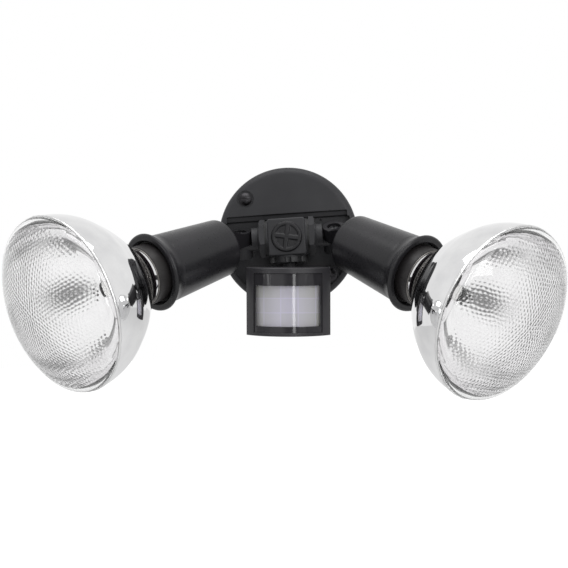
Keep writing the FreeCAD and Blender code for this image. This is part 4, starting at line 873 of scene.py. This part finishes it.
def plug_height(x, z):
    """The face's height over the hub at a place from the plug's middle."""
    u = x * math.cos(PLUG_TURN) + z * math.sin(PLUG_TURN)
    v = z * math.cos(PLUG_TURN) - x * math.sin(PLUG_TURN)
    radius = math.hypot(x, z)
    ring = soft_step(radius - RING_RADIUS, RING_HALF, SLOPE)
    bars = max(soft_step(u, BAR_HALF, BAR_SLOPE), soft_step(v, BAR_HALF, BAR_SLOPE))
    relief = max(ring, bars if radius < RING_RADIUS else 0.0)
    shoulder = soft_step(radius, PLUG_RADIUS - SLOPE, SLOPE)
    return EDGE_HEIGHT + shoulder * (FIELD_HEIGHT + RELIEF_HEIGHT * relief)


print("plug heights: middle", round(plug_height(0.0, 0.0), 2), "mm, edge",
      round(plug_height(PLUG_RADIUS, 0.0), 2), "mm")


# %% Model the plug
BACK_HEIGHT = 0.01


def plug_mesh(name, rings, segments):
    """The lifted disc in rings, closed by a flat back just in front of the hub."""
    heights = [(0.0, 0.0, plug_height(0.0, 0.0))]
    for k in range(1, rings + 1):
        radius = PLUG_RADIUS * k / rings
        for j in range(segments):
            turn = math.tau * j / segments
            x, z = radius * math.cos(turn), radius * math.sin(turn)
            heights.append((x, z, plug_height(x, z)))
    heights += [(x, z, BACK_HEIGHT) for x, z, _ in heights[-segments:]]
    points = [(x, -(PLUG_FOOT + height), z - PLUG_DROP) for x, z, height in heights]
    faces = []
    for j in range(segments):
        n = (j + 1) % segments
        faces.append((0, 1 + j, 1 + n))
        for k in range(rings):
            low, high = 1 + k * segments, 1 + (k + 1) * segments
            faces.append((low + j, high + j, high + n, low + n))
    back = 1 + rings * segments
    faces.append(tuple(range(back, back + segments)))
    return closed_mesh(name, points, faces)


mesh = plug_mesh("hub_plug", 64, 192)
mesh.materials.append(coated)
smooth(mesh, 60.0)
add_piece("hub_plug", mesh, Matrix(), "base", ["center_plug"])


# %% [markdown]
# ## The fused rim of the lamp
#
# Flames melt the rims of bowl and front together. The glass swells there into a thin bead that is
# never quite even. The mirror's coat runs on over it, so it breaks the light into a lively line.
# The bead is a turned ring, and the tree pushes its points in and out by a noise with lumps of
# 5 mm. Each lamp has its own seed, since no two rims melt alike.

# %% The uneven bead
def bead_tree(name):
    tree, given = open_tree(name, ("Lump", "Strength", "Seed"))
    scale = add_node(tree, "ShaderNodeMath", {0: 1.0, 1: given["Lump"]}, operation="DIVIDE")
    cloud = add_node(tree, "ShaderNodeTexNoise", {"W": given["Seed"], "Scale": scale.outputs[0],
                                                  "Detail": 2.0}, noise_dimensions="4D")
    centred = add_node(tree, "ShaderNodeMath", {0: cloud.outputs[0], 1: 0.5},
                       operation="SUBTRACT")
    push = add_node(tree, "ShaderNodeMath", {0: centred.outputs[0], 1: given["Strength"]},
                    operation="MULTIPLY")
    normal = add_node(tree, "GeometryNodeInputNormal").outputs[0]
    offset = add_node(tree, "ShaderNodeVectorMath", {0: normal, "Scale": push.outputs[0]},
                      operation="SCALE").outputs[0]
    return end_tree(tree, given, offset)


BEAD = bead_tree("fused_bead")
for side, seed in zip(SIDES, (3.0, 8.0)):
    ring = turned_mesh(side + "_bead", oval(RIM[0] - 0.4, SEAM, 0.85, 1.1, 12), 360)
    mesh = grown(side + "_fused_rim", ring, BEAD, Lump=5.0 * MM, Strength=1.0 * MM, Seed=seed,
                 Material=rim_glass)
    smooth(mesh)
    add_piece(side + "_fused_rim", mesh, HEADS[side], side + "_lamp")


# %% [markdown]
# ## The bead on the skirt
#
# The lamp's skirt fills the lampholder's mouth. Its near-black colour is painted shade, and only
# the rolled bead on its front edge is rubbed bright, so that it shows as a thin line. The skirt is
# a solid of the frame; the bead is a ring of 0.3 mm, turned onto its edge.

# %% Turn the beads
SKIRT_RADIUS = 20.4
SKIRT_EDGE = MOUTH + 9.2
SKIRT_BEAD = 0.3

for side in SIDES:
    mesh = turned_mesh(side + "_skirt_bead",
                       oval(SKIRT_RADIUS, SKIRT_EDGE, SKIRT_BEAD, SKIRT_BEAD, 10), 192)
    mesh.materials.append(rubbed)
    smooth(mesh)
    add_piece(side + "_skirt_bead", mesh, HEADS[side], side + "_lamp")


# %% [markdown]
# ## Camera
#
# The camera stands where the photographer's did: 84 cm away, level with the light, two and a half
# degrees to its right, and rolled by nearly four degrees. The distance follows from how much
# smaller the canopy looks than the lamps, which stand in front of it. The focal length and the
# way from the picture's middle to the canopy are in pixels of the photo.

# %% Camera
CAMERA_AZIMUTH = 2.59
CAMERA_ELEVATION = -0.2466
CAMERA_ROLL = math.radians(-3.7)
CAMERA_DISTANCE = 0.8395
CANOPY_FACE = Vector((0.0, -6.0 * MM, 0.0))
PHOTO_PIXELS = 568
FOCAL_PIXELS = 1067.99
PIXELS_ASIDE = 4.42
PIXELS_ABOVE = 46.72
SENSOR_WIDTH = 36.0


def direction(azimuth, elevation):
    """The direction that lies so many degrees to the right of the front, and so many up."""
    turn, rise = math.radians(azimuth), math.radians(elevation)
    return (math.sin(turn) * math.cos(rise), -math.cos(turn) * math.cos(rise), math.sin(rise))


def photo_camera():
    """A camera that looks at the light as the photographer's did."""
    back = Vector(direction(CAMERA_AZIMUTH, CAMERA_ELEVATION))
    forward = -back
    right = forward.cross(Vector((0, 0, 1))).normalized()
    up = right.cross(forward)
    across = right * math.cos(CAMERA_ROLL) + up * math.sin(CAMERA_ROLL)
    upward = up * math.cos(CAMERA_ROLL) - right * math.sin(CAMERA_ROLL)
    aside, above = PIXELS_ASIDE / FOCAL_PIXELS, PIXELS_ABOVE / FOCAL_PIXELS
    place = CANOPY_FACE - CAMERA_DISTANCE * (forward + aside * across + above * upward)
    camera = bpy.data.objects.new("camera", bpy.data.cameras.new("camera"))
    camera.data.sensor_width = SENSOR_WIDTH
    camera.data.lens = FOCAL_PIXELS / PHOTO_PIXELS * SENSOR_WIDTH
    camera.data.clip_start = 0.05
    camera.matrix_world = placed(across, upward, back, place)
    bpy.context.scene.collection.objects.link(camera)
    bpy.context.scene.camera = camera
    return camera


camera = photo_camera()
print("camera at", [round(c, 4) for c in camera.location])


# %% [markdown]
# ## A white ground
#
# The photo has a plain white ground. A white world gives it: the camera sees it at full strength,
# while it lights the object at little more than half of that. Mirrors and glass see the world
# too. It is white for them as well, but for a round dark zone, low in front. It stands for the
# dark side of the room, behind the camera, and gives the dimpled fronts of the lamps their grey
# middle. A dark card in front of the light would do the same, but would also shade it.

# %% Sky
WHITE = linear("#ffffff")
SKY_LIGHT = 0.55
ZONE_AIM = direction(5.0, -14.0)
ZONE_OUTSIDE = math.cos(math.radians(21.0))
ZONE_INSIDE = math.cos(math.radians(12.0))
ZONE_LIGHT = 0.18


def where_seen(tree, plain, seen):
    """One shader for the camera, for reflections and through glass, and one for other light."""
    path = add_node(tree, "ShaderNodeLightPath")
    looks = add_node(tree, "ShaderNodeMath", {0: path.outputs["Is Camera Ray"],
                                              1: path.outputs["Is Glossy Ray"]},
                     operation="MAXIMUM")
    looks = add_node(tree, "ShaderNodeMath", {0: looks.outputs[0],
                                              1: path.outputs["Is Transmission Ray"]},
                     operation="MAXIMUM")
    return add_node(tree, "ShaderNodeMixShader", {0: looks.outputs[0], 1: plain, 2: seen})


def studio_sky(name):
    """A world that is white for the camera and has the dark zone for mirrors and glass."""
    world = bpy.data.worlds.new(name)
    world.use_nodes = True
    sky = world.node_tree
    sky.nodes.clear()
    view = add_node(sky, "ShaderNodeTexCoord").outputs["Generated"]
    facing = add_node(sky, "ShaderNodeVectorMath", {0: view, 1: ZONE_AIM},
                      operation="DOT_PRODUCT").outputs["Value"]
    zone = add_node(sky, "ShaderNodeMapRange", {"Value": facing, "From Min": ZONE_OUTSIDE,
                                                "From Max": ZONE_INSIDE, "To Min": 1.0,
                                                "To Max": ZONE_LIGHT}).outputs["Result"]
    plain, mirrored, white = [
        add_node(sky, "ShaderNodeBackground", {"Color": WHITE, "Strength": strength}).outputs[0]
        for strength in (SKY_LIGHT, zone, 1.0)]
    mixed = where_seen(sky, plain, mirrored)
    camera_ray = add_node(sky, "ShaderNodeLightPath").outputs["Is Camera Ray"]
    mixed = add_node(sky, "ShaderNodeMixShader", {0: camera_ray, 1: mixed.outputs[0], 2: white})
    add_node(sky, "ShaderNodeOutputWorld", {"Surface": mixed.outputs[0]})
    return world


bpy.context.scene.world = studio_sky("studio")
bpy.context.scene.view_settings.view_transform = "Standard"
print("sky lights at", SKY_LIGHT, "and looks white")


# %% [markdown]
# ## The floor
#
# The light hangs high on a wall, so the floor lies well below it and reaches far back. Its paint
# is a matt pale grey that takes the light's shadow. A glow is added only for rays that look at
# it, so that it joins the white ground for the camera and stays pale in mirrors and glass, and
# yet throws no more light on the object.

# %% Floor
FLOOR_LEVEL = -0.62
FLOOR_SIDE = 6.0
FLOOR_FRONT = -0.4
FLOOR_BACK = 9.0
GLOW_FOR_CAMERA = 0.9
GLOW_IN_MIRRORS = 0.5


def floor_paint(name):
    material = bpy.data.materials.new(name)
    material.use_nodes = True
    tree = material.node_tree
    tree.nodes.clear()
    matt = add_node(tree, "ShaderNodeBsdfDiffuse", {"Color": linear("#bcbcbc")})
    unlit = add_node(tree, "ShaderNodeEmission", {"Color": WHITE, "Strength": 0.0})
    camera_ray = add_node(tree, "ShaderNodeLightPath").outputs["Is Camera Ray"]
    strength = add_node(tree, "ShaderNodeMapRange", {"Value": camera_ray,
                                                     "To Min": GLOW_IN_MIRRORS,
                                                     "To Max": GLOW_FOR_CAMERA})
    glow = add_node(tree, "ShaderNodeEmission", {"Color": WHITE,
                                                 "Strength": strength.outputs["Result"]})
    seen = where_seen(tree, unlit.outputs[0], glow.outputs[0])
    both = add_node(tree, "ShaderNodeAddShader", {0: matt.outputs[0], 1: seen.outputs[0]})
    add_node(tree, "ShaderNodeOutputMaterial", {"Surface": both.outputs[0]})
    return material


def floor_mesh(name):
    corners = [(-FLOOR_SIDE, FLOOR_FRONT), (FLOOR_SIDE, FLOOR_FRONT), (FLOOR_SIDE, FLOOR_BACK),
               (-FLOOR_SIDE, FLOOR_BACK)]
    mesh = bpy.data.meshes.new(name)
    mesh.from_pydata([(x, y, FLOOR_LEVEL) for x, y in corners], [], [(0, 1, 2, 3)])
    return mesh


floor = bpy.data.objects.new("floor", floor_mesh("floor"))
floor.data.materials.append(floor_paint("floor_paint"))
bpy.context.scene.collection.objects.link(floor)
print("floor at", FLOOR_LEVEL, "m")


# %% [markdown]
# ## Lamps of the studio
#
# Three soft boxes light the object. One hangs overhead and a little in front, and draws the light
# edges along the tops. One stands in front on the right, for the body of the light. A narrow
# upright one near the camera draws long soft lines on the round black parts. Seen through the
# clear fronts of the lamps, the boxes would be hard white glare, so they are hidden from rays
# that go through glass.

# %% Soft boxes
LIGHT_AIM = Vector((0.0, -0.05, 0.0))


def soft_box(name, place, width, height, power):
    """A flat lamp, sizes in metres and power in watts, that looks at the light."""
    data = bpy.data.lights.new(name, "AREA")
    data.shape = "RECTANGLE"
    data.size = width
    data.size_y = height
    data.energy = power
    box = bpy.data.objects.new(name, data)
    box.visible_transmission = False
    box.location = place
    box.rotation_mode = "QUATERNION"
    box.rotation_quaternion = (LIGHT_AIM - Vector(place)).to_track_quat("-Z", "Y")
    bpy.context.scene.collection.objects.link(box)
    print(name, "box of", power, "W")


soft_box("overhead", (0.0, -0.35, 1.1), 1.3, 0.8, 11.0)
soft_box("front", (0.92, -1.18, 0.32), 0.6, 0.9, 6.0)
soft_box("strip", (0.32, -1.5, 0.0), 0.16, 1.0, 3.2)
